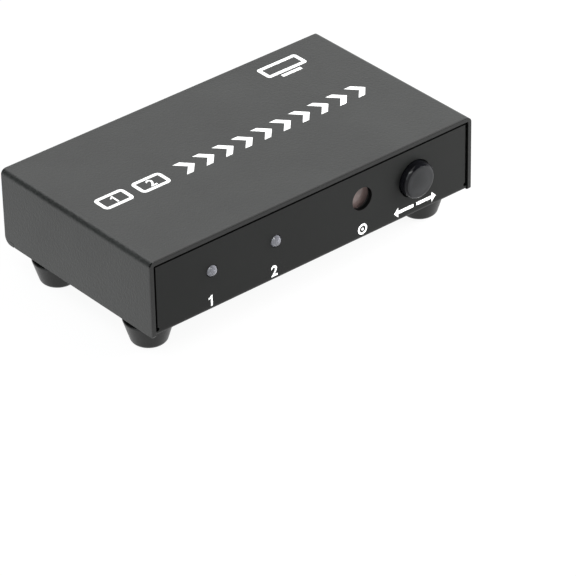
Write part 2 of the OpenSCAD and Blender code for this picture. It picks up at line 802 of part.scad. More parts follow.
// Clear lens of an indicator lamp, with its domed tip to the front
module lamp_lens(x) {
    r = led_d / 2;
    color("#aaaab4") translate([x, led_rear, led_z]) rotate([90, 0, 0]) {
        cylinder(d = led_rim_d, h = led_rim_t);
        cylinder(r = r, h = led_l - r);
        translate([0, 0, led_l - r]) sphere(r);
    }
}

// Two leads of a lamp, bent down through the board
module lamp_leads(x) {
    low_z = board_z - lead_run_out;
    color("#c8cacc") for (s = [-1, 1]) translate([x + s * led_lead_pitch / 2, 0, 0]) {
        block(0, (led_rear + led_bend_y) / 2, led_z - lead_w / 2, [lead_w, led_bend_y - led_rear, lead_w]);
        block(0, led_bend_y, low_z, [lead_w, lead_w, led_z + lead_w / 2 - low_z]);
    }
}

// Block that holds a lamp at its height, with a channel for each lead
module lamp_holder(x) {
    channel_l = led_bend_y - led_rear + holder_channel / 2;
    color("#181818") difference() {
        block(x, led_rear + holder_d / 2, board_top, [holder_w, holder_d, holder_h]);
        for (s = [-1, 1])
            translate([x + s * led_lead_pitch / 2 - holder_channel / 2, led_rear - over, board_top - over])
                cube([holder_channel, channel_l + over, led_z + holder_channel / 2 - board_top + over]);
    }
}

// Dark red window behind the infrared hole
module ir_window() {
    color("#4a2226") rod_y(ir_x, ir_window_y, ir_z, ir_window_d, ir_window_t);
}

// Foam ring that sticks the window to the panel
module ir_foam_ring() {
    color("#202020") difference() {
        rod_y(ir_x, ir_ring_y, ir_z, ir_window_d, ir_ring_t);
        rod_y(ir_x, ir_ring_y - over, ir_z, ir_hole_d + 2 * ir_ring_gap, ir_ring_t + 2 * over);
    }
}

// Infrared receiver: a block with a round lens towards the window
module ir_receiver() {
    color("#1a1518") {
        block(ir_x, ir_lead_y, ir_z - ir_body_h / 2, [ir_body_w, ir_body_d, ir_body_h]);
        intersection() {
            translate([ir_x, ir_body_y, ir_z]) sphere(ir_lens_r);
            block(ir_x, ir_body_y - ir_lens_r, ir_z - ir_lens_r, 2 * [ir_lens_r, ir_lens_r, ir_lens_r]);
        }
    }
}

// Three leads of the infrared receiver
module ir_receiver_leads() {
    low_z = board_z - lead_run_out;
    color("#c8cacc") for (i = [-1:1])
        block(ir_x + i * led_lead_pitch, ir_lead_y, low_z,
            [lead_w, lead_w, ir_z - ir_body_h / 2 - low_z]);
}

// Select button: a domed cap with a rim behind the panel and a hub for the plunger
module select_button() {
    r = button_d / 2;
    face_r = r - button_edge_r;
    edge_z = cap_l - button_dome_h - button_edge_r;
    steps = 6;
    dome = [for (i = [0:steps]) let (q = i / steps) [face_r * q, cap_l - button_dome_h * q * q]];
    edge = [
        for (i = [1:steps]) let (a = 90 - 90 * i / steps)
            [face_r + button_edge_r * cos(a), edge_z + button_edge_r * sin(a)]
    ];
    color("#2c2d2e") translate([button_x, cap_rear, button_z]) rotate([90, 0, 0]) difference() {
        union() {
            rotate_extrude() polygon(concat(
                [[0, 0]], dome, edge,
                [[r, button_rim_t], [r + button_rim_w, button_rim_t], [r + button_rim_w, 0]]
            ));
            translate([0, 0, -hub_l]) cylinder(d = hub_d, h = hub_l);
        }
        translate([0, 0, -hub_l - over])
            cylinder(d = plunger_d + 2 * thread_gap, h = plunger_grip + over);
    }
}

// Plunger of the select switch, with a collar that the switch's frame holds back
module switch_plunger() {
    tip_y = hub_rear - plunger_grip;
    color("#d9d4c6") {
        rod_y(button_x, tip_y, button_z, plunger_d, collar_rear - tip_y);
        rod_y(button_x, collar_y, button_z, collar_d, collar_t);
    }
}

// Metal frame over the front of the switch, with a leg down each side
module switch_frame() {
    low_z = board_z - lead_run_out;
    leg_y = switch_y + switch_d / 2 + frame_leg_w / 2;
    top = button_z + switch_w / 2;
    color("#b9bcc0") {
        difference() {
            block(button_x, frame_y + frame_t / 2, board_top,
                [switch_w + 2 * frame_t, frame_t, top - board_top]);
            rod_y(button_x, frame_y - over, button_z, plunger_d + 2 * plunger_gap, frame_t + 2 * over);
        }
        for (s = [-1, 1]) {
            block(button_x + s * (switch_w + frame_t) / 2, (frame_y + leg_y) / 2, button_z,
                [frame_t, leg_y - frame_y, switch_w / 4]);
            block(button_x + s * (switch_w + frame_t) / 2, leg_y - frame_leg_w / 2, low_z,
                [frame_t, frame_leg_w, button_z - low_z]);
        }
    }
}

// Body of the select switch, with a well for the plunger's collar and the dome
module switch_body() {
    top = button_z + switch_w / 2;
    color("#1a1a1a") difference() {
        block(button_x, switch_y + switch_d / 2, board_top, [switch_w, switch_d, top - board_top]);
        rod_y(button_x, switch_y - over, button_z, switch_well_d, dome_rear - switch_y + over);
    }
}

// Snap dome on the floor of the switch's well
module switch_dome() {
    r = (dome_d * dome_d / 4 + dome_h * dome_h) / (2 * dome_h);
    color("#c8cacc") translate([button_x, dome_rear, button_z]) rotate([90, 0, 0]) rotate_extrude()
        intersection() {
            translate([0, dome_h - r]) difference() {
                circle(r, $fn = 360);
                circle(r - dome_t, $fn = 360);
            }
            square([dome_d / 2, dome_h]);
        }
}

// Two terminals of the select switch, through the board
module switch_terminals() {
    low_z = board_z - lead_run_out;
    color("#c8cacc") for (s = [-1, 1])
        block(button_x + s * terminal_pitch_x / 2, terminal_y, low_z,
            [terminal_w, lead_w, board_top - low_z]);
}

// Video switching chip
module switch_ic() {
    color("#1b1b1d")
        block(switch_ic_at[0], switch_ic_at[1], board_top + ic_stand_off,
            [switch_ic_w, switch_ic_w, switch_ic_h]);
}

// Leads on all four sides of the video switching chip
module switch_ic_leads() {
    color("#c8cacc") translate([switch_ic_at[0], switch_ic_at[1], 0]) for (a = [0, 90, 180, 270])
        rotate(a) translate([switch_ic_w / 2, 0, 0]) gull_leads(switch_ic_leads_n, ic_pitch, ic_pitch / 2);
}

// Control chip
module control_ic() {
    color("#1b1b1d")
        block(control_ic_at[0], control_ic_at[1], board_top + ic_stand_off,
            [control_ic_w, control_ic_l, switch_ic_h]);
}

// Leads on two sides of the control chip
module control_ic_leads() {
    color("#c8cacc") translate([control_ic_at[0], control_ic_at[1], 0]) for (a = [0, 180])
        rotate(a) translate([control_ic_w / 2, 0, 0])
            gull_leads(control_ic_leads_n, control_ic_pitch, ic_pitch / 2);
}

// Voltage regulator
module regulator() {
    color("#1b1b1d")
        block(regulator_at[0], regulator_at[1], board_top + ic_stand_off,
            [regulator_d, regulator_w, regulator_h]);
}

// Three leads of the regulator and the wide tab opposite them
module regulator_leads() {
    color("#c8cacc") translate([regulator_at[0], regulator_at[1], 0]) {
        translate([regulator_d / 2, 0, 0]) gull_leads(3, regulator_pitch, ic_pitch);
        rotate(180) translate([regulator_d / 2, 0, 0]) gull_leads(1, regulator_pitch, regulator_w / 2);
    }
}

// Can of a smoothing capacitor, with the rolled groove near its foot
module capacitor(at) {
    r = capacitor_d / 2;
    groove_z = capacitor_h * 0.2;
    color("#2b2d3a") translate([at[0], at[1], board_top]) rotate_extrude() polygon([
        [0, 0], [r, 0], [r, groove_z - capacitor_groove], [r - capacitor_groove, groove_z],
        [r, groove_z + capacitor_groove], [r, capacitor_h - capacitor_groove],
        [r - capacitor_groove, capacitor_h], [0, capacitor_h]
    ]);
}

// Quartz crystal in its oblong can
module crystal() {
    reach = (crystal_l - crystal_w) / 2;
    color("#c3c6c9") translate([crystal_at[0], crystal_at[1], board_top]) linear_extrude(crystal_h) {
        square([2 * reach, crystal_w], center = true);
        for (s = [-1, 1]) translate([s * reach, 0]) circle(d = crystal_w);
    }
}

// Small chip resistors and capacitors
module chip_parts() {
    color("#8a7a5c") for (p = chips_at) block(p[0], p[1], board_top, [chip_l, chip_w, chip_h]);
}

cover();
chassis();
rear_panel();
bracket(-1, jack_inset - jack_w / 2);  // bracket_left
bracket(1, socket_inset - socket_w / 2);  // bracket_right
cover_screws();
cover_nuts();
foot(-foot_x, foot_y[0]);  // foot_front_left
foot(foot_x, foot_y[0]);  // foot_front_right
foot(-foot_x, foot_y[1]);  // foot_rear_left
foot(foot_x, foot_y[1]);  // foot_rear_right
foot_washers();
foot_screws();
foot_nuts();
standoffs();
board_screws();
main_board();
socket_shell(socket_x[0]);  // video_out_shell
socket_insulator(socket_x[0]);  // video_out_insulator
socket_contacts(socket_x[0]);  // video_out_contacts
socket_shell(socket_x[1]);  // video_in_1_shell
socket_insulator(socket_x[1]);  // video_in_1_insulator
socket_contacts(socket_x[1]);  // video_in_1_contacts
socket_shell(socket_x[2]);  // video_in_2_shell
socket_insulator(socket_x[2]);  // video_in_2_insulator
socket_contacts(socket_x[2]);  // video_in_2_contacts
power_jack_housing();
power_jack_pin();
power_jack_spring();
lamp_lens(led_x[0]);  // lamp_1_lens
lamp_leads(led_x[0]);  // lamp_1_leads
lamp_holder(led_x[0]);  // lamp_1_holder
lamp_lens(led_x[1]);  // lamp_2_lens
lamp_leads(led_x[1]);  // lamp_2_leads
lamp_holder(led_x[1]);  // lamp_2_holder
ir_window();
ir_foam_ring();
ir_receiver();
ir_receiver_leads();
select_button();
switch_plunger();
switch_frame();
switch_body();
switch_dome();
switch_terminals();
switch_ic();
switch_ic_leads();
control_ic();
control_ic_leads();
regulator();
regulator_leads();
capacitor(capacitors_at[0]);  // capacitor_left
capacitor(capacitors_at[1]);  // capacitor_right
crystal();
chip_parts();
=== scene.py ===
"""Looks of a two-input video switch box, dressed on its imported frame.

Sizes are in millimetres. Meshes are drawn in them, and a mesh is scaled to metres when it becomes a piece.
+X is right seen from the front, -Y is the front and +Z is up; the feet stand on Z = 0.
"""

import json
import logging
import math
from collections.abc import Callable, Iterable, Sequence
from dataclasses import dataclass
from enum import Enum
from functools import cache

import bmesh
import bpy
from bmesh.types import BMEdge, BMFace, BMVert
from mathutils import Matrix, Vector


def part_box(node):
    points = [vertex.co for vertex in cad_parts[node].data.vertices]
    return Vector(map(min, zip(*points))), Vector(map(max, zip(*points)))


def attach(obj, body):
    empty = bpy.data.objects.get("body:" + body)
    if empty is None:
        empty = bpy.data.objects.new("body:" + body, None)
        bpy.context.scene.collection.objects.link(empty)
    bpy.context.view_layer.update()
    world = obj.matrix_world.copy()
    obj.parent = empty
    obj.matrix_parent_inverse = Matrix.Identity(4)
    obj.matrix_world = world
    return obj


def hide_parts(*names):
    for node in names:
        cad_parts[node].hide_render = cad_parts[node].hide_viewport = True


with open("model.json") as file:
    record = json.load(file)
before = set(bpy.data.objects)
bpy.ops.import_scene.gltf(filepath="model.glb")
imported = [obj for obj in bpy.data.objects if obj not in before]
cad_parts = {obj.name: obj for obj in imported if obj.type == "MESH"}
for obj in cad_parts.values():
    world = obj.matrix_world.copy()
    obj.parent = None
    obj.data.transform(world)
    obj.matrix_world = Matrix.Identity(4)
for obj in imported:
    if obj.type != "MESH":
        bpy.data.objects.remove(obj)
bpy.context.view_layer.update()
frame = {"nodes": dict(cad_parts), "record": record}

MM = 0.001
MERGE = 1e-4
QUARTER = math.radians(90)
SHARP = math.radians(40)
INK_SHARP = math.radians(30)
EDGE_STEPS = 3
LIP_STEPS = 4
ROUND_STEPS = 6
BEND_STEPS = 8
TURN_STEPS = 64
HOLE_STEPS = 32
FEET = ("foot_front_left", "foot_front_right", "foot_rear_left", "foot_rear_right")

Colour = tuple[float, float, float]
Corner = tuple[float, float, float]
Pair = tuple[float, float]
Factors = tuple[float, float, float]
Socket = bpy.types.NodeSocket

log = logging.getLogger("switch_box")


class Body(Enum):
    """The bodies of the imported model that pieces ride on."""

    CASE = "case"
    BUTTON = "button"


class Plane(Enum):
    """A plane for flat outlines: the axes of its u, its v and its depth w."""

    FRONT = (0, 2, 1)
    FLOOR = (0, 1, 2)
    SIDE = (1, 2, 0)

    def place(self, u: float, v: float, w: float) -> Vector:
        """Give a point by its place in the plane.

        Args:
            u: First coordinate in the plane.
            v: Second coordinate in the plane.
            w: Depth of the plane.

        Returns:
            The point.
        """
        point = Vector((0, 0, 0))
        for axis, value in zip(self.value, (u, v, w)):
            point[axis] = value
        return point


class Axis(Enum):
    """The way a turned piece's axis points, as a turn about X from +Z."""

    UP = 0
    DOWN = 180
    FRONT = 90
    BACK = -90

    def matrix(self) -> Matrix:
        """Give the rotation that takes +Z to this axis."""
        return Matrix.Rotation(math.radians(self.value), 4, "X")


class Side(Enum):
    """A face of the case that carries print, with its turns about X and then Z."""

    TOP = (0, 0)
    FRONT = (90, 0)
    REAR = (90, 180)

    def matrix(self) -> Matrix:
        """Give the rotation from a drawing in X and Y, seen from +Z, to this face."""
        about_x, about_z = (math.radians(turn) for turn in self.value)
        return Matrix.Rotation(about_z, 4, "Z") @ Matrix.Rotation(about_x, 4, "X")


def box_mm(node: str) -> tuple[Vector, Vector]:
    """Give a CAD node's lowest and highest corners.

    Args:
        node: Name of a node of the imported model.

    Returns:
        The two corners, in millimetres.
    """
    low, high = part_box(node)
    return low / MM, high / MM


def middle(node: str) -> Vector:
    """Give the middle of a CAD node's box, in millimetres."""
    low, high = box_mm(node)
    return (low + high) / 2


def arc(u: float, v: float, radius: float, start: float, stop: float, steps: int) -> list[Pair]:
    """Give points along an arc.

    Args:
        u: First coordinate of the centre.
        v: Second coordinate of the centre.
        radius: Radius of the arc.
        start: Angle of the first point, in degrees.
        stop: Angle of the last point, in degrees.
        steps: Number of straight stretches.

    Returns:
        The points from start to stop, both included.
    """
    turns = [math.radians(start + (stop - start) * step / steps) for step in range(steps + 1)]
    return [(u + radius * math.cos(turn), v + radius * math.sin(turn)) for turn in turns]


class Graph:
    """The nodes of one material, added step by step around its shader."""

    def __init__(self, name: str, colour: Colour, roughness: float) -> None:
        """Start a material.

        Args:
            name: Name of the material.
            colour: Linear base colour, used as it is where nothing is linked to it.
            roughness: Roughness, used as it is where nothing is linked to it.
        """
        self.material = bpy.data.materials.new(name)
        self.material.use_nodes = True
        self.tree = self.material.node_tree
        self.shader = self.tree.nodes["Principled BSDF"]
        self.coords = self.tree.nodes.new("ShaderNodeTexCoord").outputs["Object"]
        self.set("Base Color", (*colour, 1.0))
        self.set("Roughness", roughness)

    def set(self, socket: str, value: object) -> None:
        """Give a socket of the shader a value, or link it to another node's output."""
        self._feed(self.shader.inputs[socket], value)

    def add(self, kind: str, inputs: dict[str, object], **settings: object) -> bpy.types.Node:
        """Add a node.

        Args:
            kind: Type name of the node.
            inputs: A value or a linked output for each named input.
            settings: Properties of the node itself.

        Returns:
            The new node.
        """
        node = self.tree.nodes.new(kind)
        for key, value in settings.items():
            setattr(node, key, value)
        for key, value in inputs.items():
            self._feed(node.inputs[key], value)
        return node

    def noise(self, cell: float, detail: float = 2.0, stretch: Factors = (1.0, 1.0, 1.0)) -> Socket:
        """Add cloudy noise.

        Args:
            cell: Size of its clouds.
            detail: Number of finer layers.
            stretch: Factors on the coordinates, so that a low one draws the clouds out.

        Returns:
            Its output from 0 to 1.
        """
        placed = self.add("ShaderNodeMapping", {"Vector": self.coords, "Scale": stretch})
        wanted = {"Vector": placed.outputs[0], "Scale": 1 / (cell * MM), "Detail": detail}
        return self.add("ShaderNodeTexNoise", wanted).outputs[0]

    def cells(self, cell: float, feature: str) -> Socket:
        """Add a pattern of cells of about the given size and return its distance."""
        wanted = {"Vector": self.coords, "Scale": 1 / (cell * MM)}
        return self.add("ShaderNodeTexVoronoi", wanted, feature=feature).outputs["Distance"]

    def ramp(self, factor: Socket, stops: Sequence[tuple[float, Colour]]) -> Socket:
        """Turn a factor into a colour.

        Args:
            factor: Output that runs from 0 to 1.
            stops: Places along the factor and their colours; two or more.

        Returns:
            The colour output.
        """
        node = self.add("ShaderNodeValToRGB", {"Fac": factor})
        elements = node.color_ramp.elements
        for _ in stops[2:]:
            elements.new(0.5)
        for element, (place, colour) in zip(elements, stops):
            element.position = place
            element.color = (*colour, 1.0)
        return node.outputs["Color"]

    def spread(self, factor: Socket, low: float, high: float) -> Socket:
        """Map the middle half of a noise to the values from low to high."""
        wanted = {"Value": factor, "From Min": 0.25, "From Max": 0.75, "To Min": low, "To Max": high}
        return self.add("ShaderNodeMapRange", wanted).outputs["Result"]

    def blend(self, first: Socket, second: Socket, share: float) -> Socket:
        """Mix two numbers.

        Args:
            first: Output that gives the first number.
            second: Output that gives the second number.
            share: Share of the second number, from 0 to 1.

        Returns:
            The output with the mixed number.
        """
        node = self.add("ShaderNodeMix", {}, data_type="FLOAT")
        for index, value in ((0, share), (2, first), (3, second)):
            self._feed(node.inputs[index], value)
        return node.outputs[0]

    def bump(self, height: Socket, depth: float) -> None:
        """Raise the surface by a height of 0 to 1 times a depth in millimetres."""
        wanted = {"Height": height, "Distance": depth * MM, "Strength": 1.0}
        self.set("Normal", self.add("ShaderNodeBump", wanted).outputs["Normal"])

    def _feed(self, socket: Socket, value: object) -> None:
        """Link an output to a socket, or set the socket's own value.

        Args:
            socket: Input that is fed.
            value: Output to link, or the value to set.
        """
        if isinstance(value, Socket):
            self.tree.links.new(value, socket)
        else:
            socket.default_value = value


@dataclass(frozen=True)
class Finish:
    """A surface finish that makes one material, shared by all pieces that have it."""

    name: str
    slot: str
    colour: Colour
    roughness: float

    @cache
    def material(self) -> bpy.types.Material:
        """Return the material, made on its first use."""
        return self.make()

    def make(self) -> bpy.types.Material:
        """Make the material."""
        raise NotImplementedError

    def shade(self, factor: float) -> Colour:
        """Give the finish's colour, lighter or darker by a factor."""
        red, green, blue = self.colour
        return (red * factor, green * factor, blue * factor)

    def tint(self, graph: Graph, pattern: Socket, tones: Sequence[Pair]) -> None:
        """Colour the surface by a pattern, with a factor on the colour at each place along it."""
        stops = [(place, self.shade(factor)) for place, factor in tones]
        graph.set("Base Color", graph.ramp(pattern, stops))

    def roughen(self, graph: Graph, pattern: Socket, down: float, up: float) -> None:
        """Vary the roughness by a pattern, from so much below the finish's own to so much above it."""
        graph.set("Roughness", graph.spread(pattern, self.roughness - down, self.roughness + up))


@dataclass(frozen=True)
class TexturedPaint(Finish):
    """Powder paint with a wrinkled grain."""

    grain: float = 0.5
    depth: float = 0.03
    contrast: float = 0.3
    gloss: float = 0.5
    wrinkle: float = 1.7
    grain_share: float = 0.6
    cloud: float = 18.0
    cloud_share: float = 0.35
    tone_places: Pair = (0.3, 0.7)
    uneven: float = 0.06

    def make(self) -> bpy.types.Material:
        """Make the paint from wrinkles, fine grain and broad clouds.

        Returns:
            The material.
        """
        graph = Graph(self.name, self.colour, self.roughness)
        wrinkle = graph.cells(self.grain * self.wrinkle, "SMOOTH_F1")
        grain = graph.noise(self.grain, detail=3.0)
        relief = graph.blend(wrinkle, grain, self.grain_share)
        tone = graph.blend(grain, graph.noise(self.cloud), self.cloud_share)
        low, high = self.tone_places
        self.tint(graph, tone, [(low, 1 - self.contrast), (high, 1 + self.contrast)])
        self.roughen(graph, grain, self.uneven, self.uneven)
        graph.set("Specular IOR Level", self.gloss)
        graph.bump(relief, self.depth)
        return graph.material


@dataclass(frozen=True)
class Rubber(Finish):
    """Moulded rubber or foam with a dull skin."""

    grain: float = 0.25
    depth: float = 0.02
    gloss: float = 0.25
    bloom: float = 4.0
    tones: tuple[Pair, Pair] = ((0.3, 0.75), (0.75, 1.35))
    uneven: float = 0.08

    def make(self) -> bpy.types.Material:
        """Make the rubber from a fine skin and a little bloom.

        Returns:
            The material.
        """
        graph = Graph(self.name, self.colour, self.roughness)
        skin = graph.noise(self.grain, detail=4.0)
        self.tint(graph, graph.noise(self.bloom, detail=3.0), self.tones)
        self.roughen(graph, skin, self.uneven, self.uneven)
        graph.set("Specular IOR Level", self.gloss)
        graph.bump(skin, self.depth)
        return graph.material


@dataclass(frozen=True)
class PlatedMetal(Finish):
    """Plated or bare metal with fine drawing lines."""

    drawn: Factors = (1.0, 1.0, 1.0)
    depth: float = 0.004
    line: float = 0.12
    patch: float = 2.5
    tones: tuple[Pair, Pair] = ((0.3, 0.86), (0.7, 1.05))
    uneven: Pair = (0.07, 0.09)

    def make(self) -> bpy.types.Material:
        """Make the metal from drawing lines and tarnished patches.

        Returns:
            The material.
        """
        graph = Graph(self.name, self.colour, self.roughness)
        lines = graph.noise(self.line, stretch=self.drawn)
        self.tint(graph, graph.noise(self.patch, detail=3.0), self.tones)
        self.roughen(graph, lines, *self.uneven)
        graph.set("Metallic", 1.0)
        graph.bump(lines, self.depth)
        return graph.material


@dataclass(frozen=True)
class MouldedPlastic(Finish):
    """Moulded plastic with the grain of its tool."""

    grain: float = 0.12
    depth: float = 0.006
    gloss: float = 0.5
    flow: float = 3.0
    flow_drawn: Factors = (1.0, 0.4, 1.0)
    tones: tuple[Pair, Pair] = ((0.3, 0.85), (0.7, 1.15))
    uneven: float = 0.15

    def make(self) -> bpy.types.Material:
        """Make the plastic from tool grain and faint flow marks.

        Returns:
            The material.
        """
        graph = Graph(self.name, self.colour, self.roughness)
        grain = graph.noise(self.grain, detail=3.0)
        self.tint(graph, graph.noise(self.flow, stretch=self.flow_drawn), self.tones)
        change = self.roughness * self.uneven
        self.roughen(graph, grain, change, change)
        graph.set("Specular IOR Level", self.gloss)
        graph.bump(grain, self.depth)
        return graph.material


@dataclass(frozen=True)
class ClearPlastic(Finish):
    """Cast plastic that lets light through."""

    clear: float = 0.5
    bending: float = 1.5
    streak: float = 0.8
    streak_drawn: Factors = (1.0, 0.5, 1.0)
    tones: tuple[Pair, Pair] = ((0.3, 0.88), (0.7, 1.08))
    uneven: float = 0.2

    def make(self) -> bpy.types.Material:
        """Make the plastic from faint streaks of its casting.

        Returns:
            The material.
        """
        graph = Graph(self.name, self.colour, self.roughness)
        streaks = graph.noise(self.streak, stretch=self.streak_drawn)
        self.tint(graph, streaks, self.tones)
        change = self.roughness * self.uneven
        self.roughen(graph, streaks, change, change)
        graph.set("Transmission Weight", self.clear)
        graph.set("IOR", self.bending)
        return graph.material


@dataclass(frozen=True)
class SolderMask(Finish):
    """Lacquer over a circuit board, with copper tracks that show through."""

    track: float = 2.6
    mottle: float = 0.6
    depth: float = 0.01
    tones: tuple[Pair, Pair] = ((0.05, 1.8), (0.09, 0.9))
    uneven: float = 0.06

    def make(self) -> bpy.types.Material:
        """Make the lacquer from tracks and a slight mottle.

        Returns:
            The material.
        """
        graph = Graph(self.name, self.colour, self.roughness)
        mottle = graph.noise(self.mottle)
        self.tint(graph, graph.cells(self.track, "DISTANCE_TO_EDGE"), self.tones)
        self.roughen(graph, mottle, self.uneven, self.uneven)
        graph.bump(mottle, self.depth)
        return graph.material


@dataclass(frozen=True)
class PrintedInk(Finish):
    """Screen-printed ink on textured paint."""

    grain: float = 0.35
    depth: float = 0.01
    tones: tuple[Pair, Pair] = ((0.25, 0.94), (0.5, 1.02))
    uneven: float = 0.05

    def make(self) -> bpy.types.Material:
        """Make the ink from its own grain and the paint's below.

        Returns:
            The material.
        """
        graph = Graph(self.name, self.colour, self.roughness)
        grain = graph.noise(self.grain, detail=3.0)
        self.tint(graph, grain, self.tones)
        self.roughen(graph, grain, self.uneven, self.uneven)
        graph.bump(grain, self.depth)
        return graph.material


COVER_PAINT = TexturedPaint(
    "textured_black_paint", "cover_paint", (0.0145, 0.0155, 0.0148), 0.38,
    grain=0.4, depth=0.09, contrast=0.5, gloss=0.57
)
# Darker, glossier copy of the cover paint for its front strip, cut edges and inside: painted shade for the
# dark line along the cover's front edge.
COVER_RIM_SHADE = TexturedPaint(
    "cover_rim_painted_shade", "cover_paint", (0.005, 0.0052, 0.005), 0.18,
    grain=0.3, depth=0.002, contrast=0.12, gloss=0.4
)
PANEL_PAINT = TexturedPaint(
    "satin_black_paint", "panel_paint", (0.0090, 0.0094, 0.0090), 0.45,
    grain=0.3, depth=0.008, contrast=0.12, gloss=0.18
)
# Near-black paint for cut edges, hole walls and the cover's inside, darker than the sheets' own paint:
# painted shade for the gaps and hollows. The reflection cards use it as their black too.
SHADE_BLACK = TexturedPaint(
    "painted_shade_black", "panel_paint", (0.003, 0.003, 0.003), 0.7, grain=0.3, depth=0.01, gloss=0.05
)
FOOT_RUBBER = Rubber("moulded_rubber", "foot_rubber", (0.005, 0.0052, 0.005), 0.34, gloss=0.33)
ZINC = PlatedMetal("zinc_plate", "zinc", (0.58, 0.59, 0.60), 0.32)
NICKEL = PlatedMetal("drawn_nickel", "nickel", (0.66, 0.65, 0.62), 0.24, drawn=(1.0, 0.08, 1.0))
CONTACT_GOLD = PlatedMetal("gold_plate", "contact_gold", (0.86, 0.62, 0.26), 0.22, drawn=(1.0, 0.1, 1.0))
TINNED = PlatedMetal("tinned_lead", "tinned", (0.68, 0.68, 0.68), 0.36)
BLACK_PLASTIC = MouldedPlastic("moulded_black", "black_plastic", (0.018, 0.018, 0.018), 0.5)
LAMP_CLEAR = ClearPlastic("lamp_plastic", "lamp_clear", (0.33, 0.33, 0.37), 0.08, clear=0.55)
WINDOW_RED = MouldedPlastic("window_plastic", "window_red", (0.125, 0.092, 0.086), 0.16, depth=0.0015)
BUTTON_GLOSS = MouldedPlastic(
    "button_gloss", "button_black", (0.004, 0.004, 0.005), 0.14, depth=0.001, gloss=0.2
)
BUTTON_SATIN = MouldedPlastic(
    "button_satin", "button_black", (0.0145, 0.0150, 0.0160), 0.42, depth=0.004, gloss=0.3
)
INK = PrintedInk("white_ink", "", (0.92, 0.92, 0.91), 0.5)
CARRIED_FINISHES: tuple[Finish, ...] = (
    COVER_PAINT,
    PANEL_PAINT,
    FOOT_RUBBER,
    ZINC,
    NICKEL,
    CONTACT_GOLD,
    TINNED,
    BLACK_PLASTIC,
    LAMP_CLEAR,
    WINDOW_RED,
    BUTTON_SATIN,
    PlatedMetal("turned_brass", "standoff_brass", (0.70, 0.52, 0.24), 0.3),
    SolderMask("solder_mask", "board_mask", (0.012, 0.10, 0.045), 0.3),
    MouldedPlastic("moulded_plunger", "plunger_plastic", (0.70, 0.66, 0.55), 0.45),
    Rubber("foam_ring", "foam", (0.022, 0.022, 0.022), 0.9, grain=0.35, depth=0.08),
    MouldedPlastic("shrunk_sleeve", "capacitor_sleeve", (0.020, 0.024, 0.060), 0.22),
    MouldedPlastic("fired_ceramic", "chip_ceramic", (0.34, 0.26, 0.17), 0.4),
)


def ends(edges: Iterable[BMEdge]) -> list[BMVert]:
    """Give the vertices at the ends of edges, each of them once and in the same order in every run."""
    return list(dict.fromkeys(vert for edge in edges for vert in edge.verts))


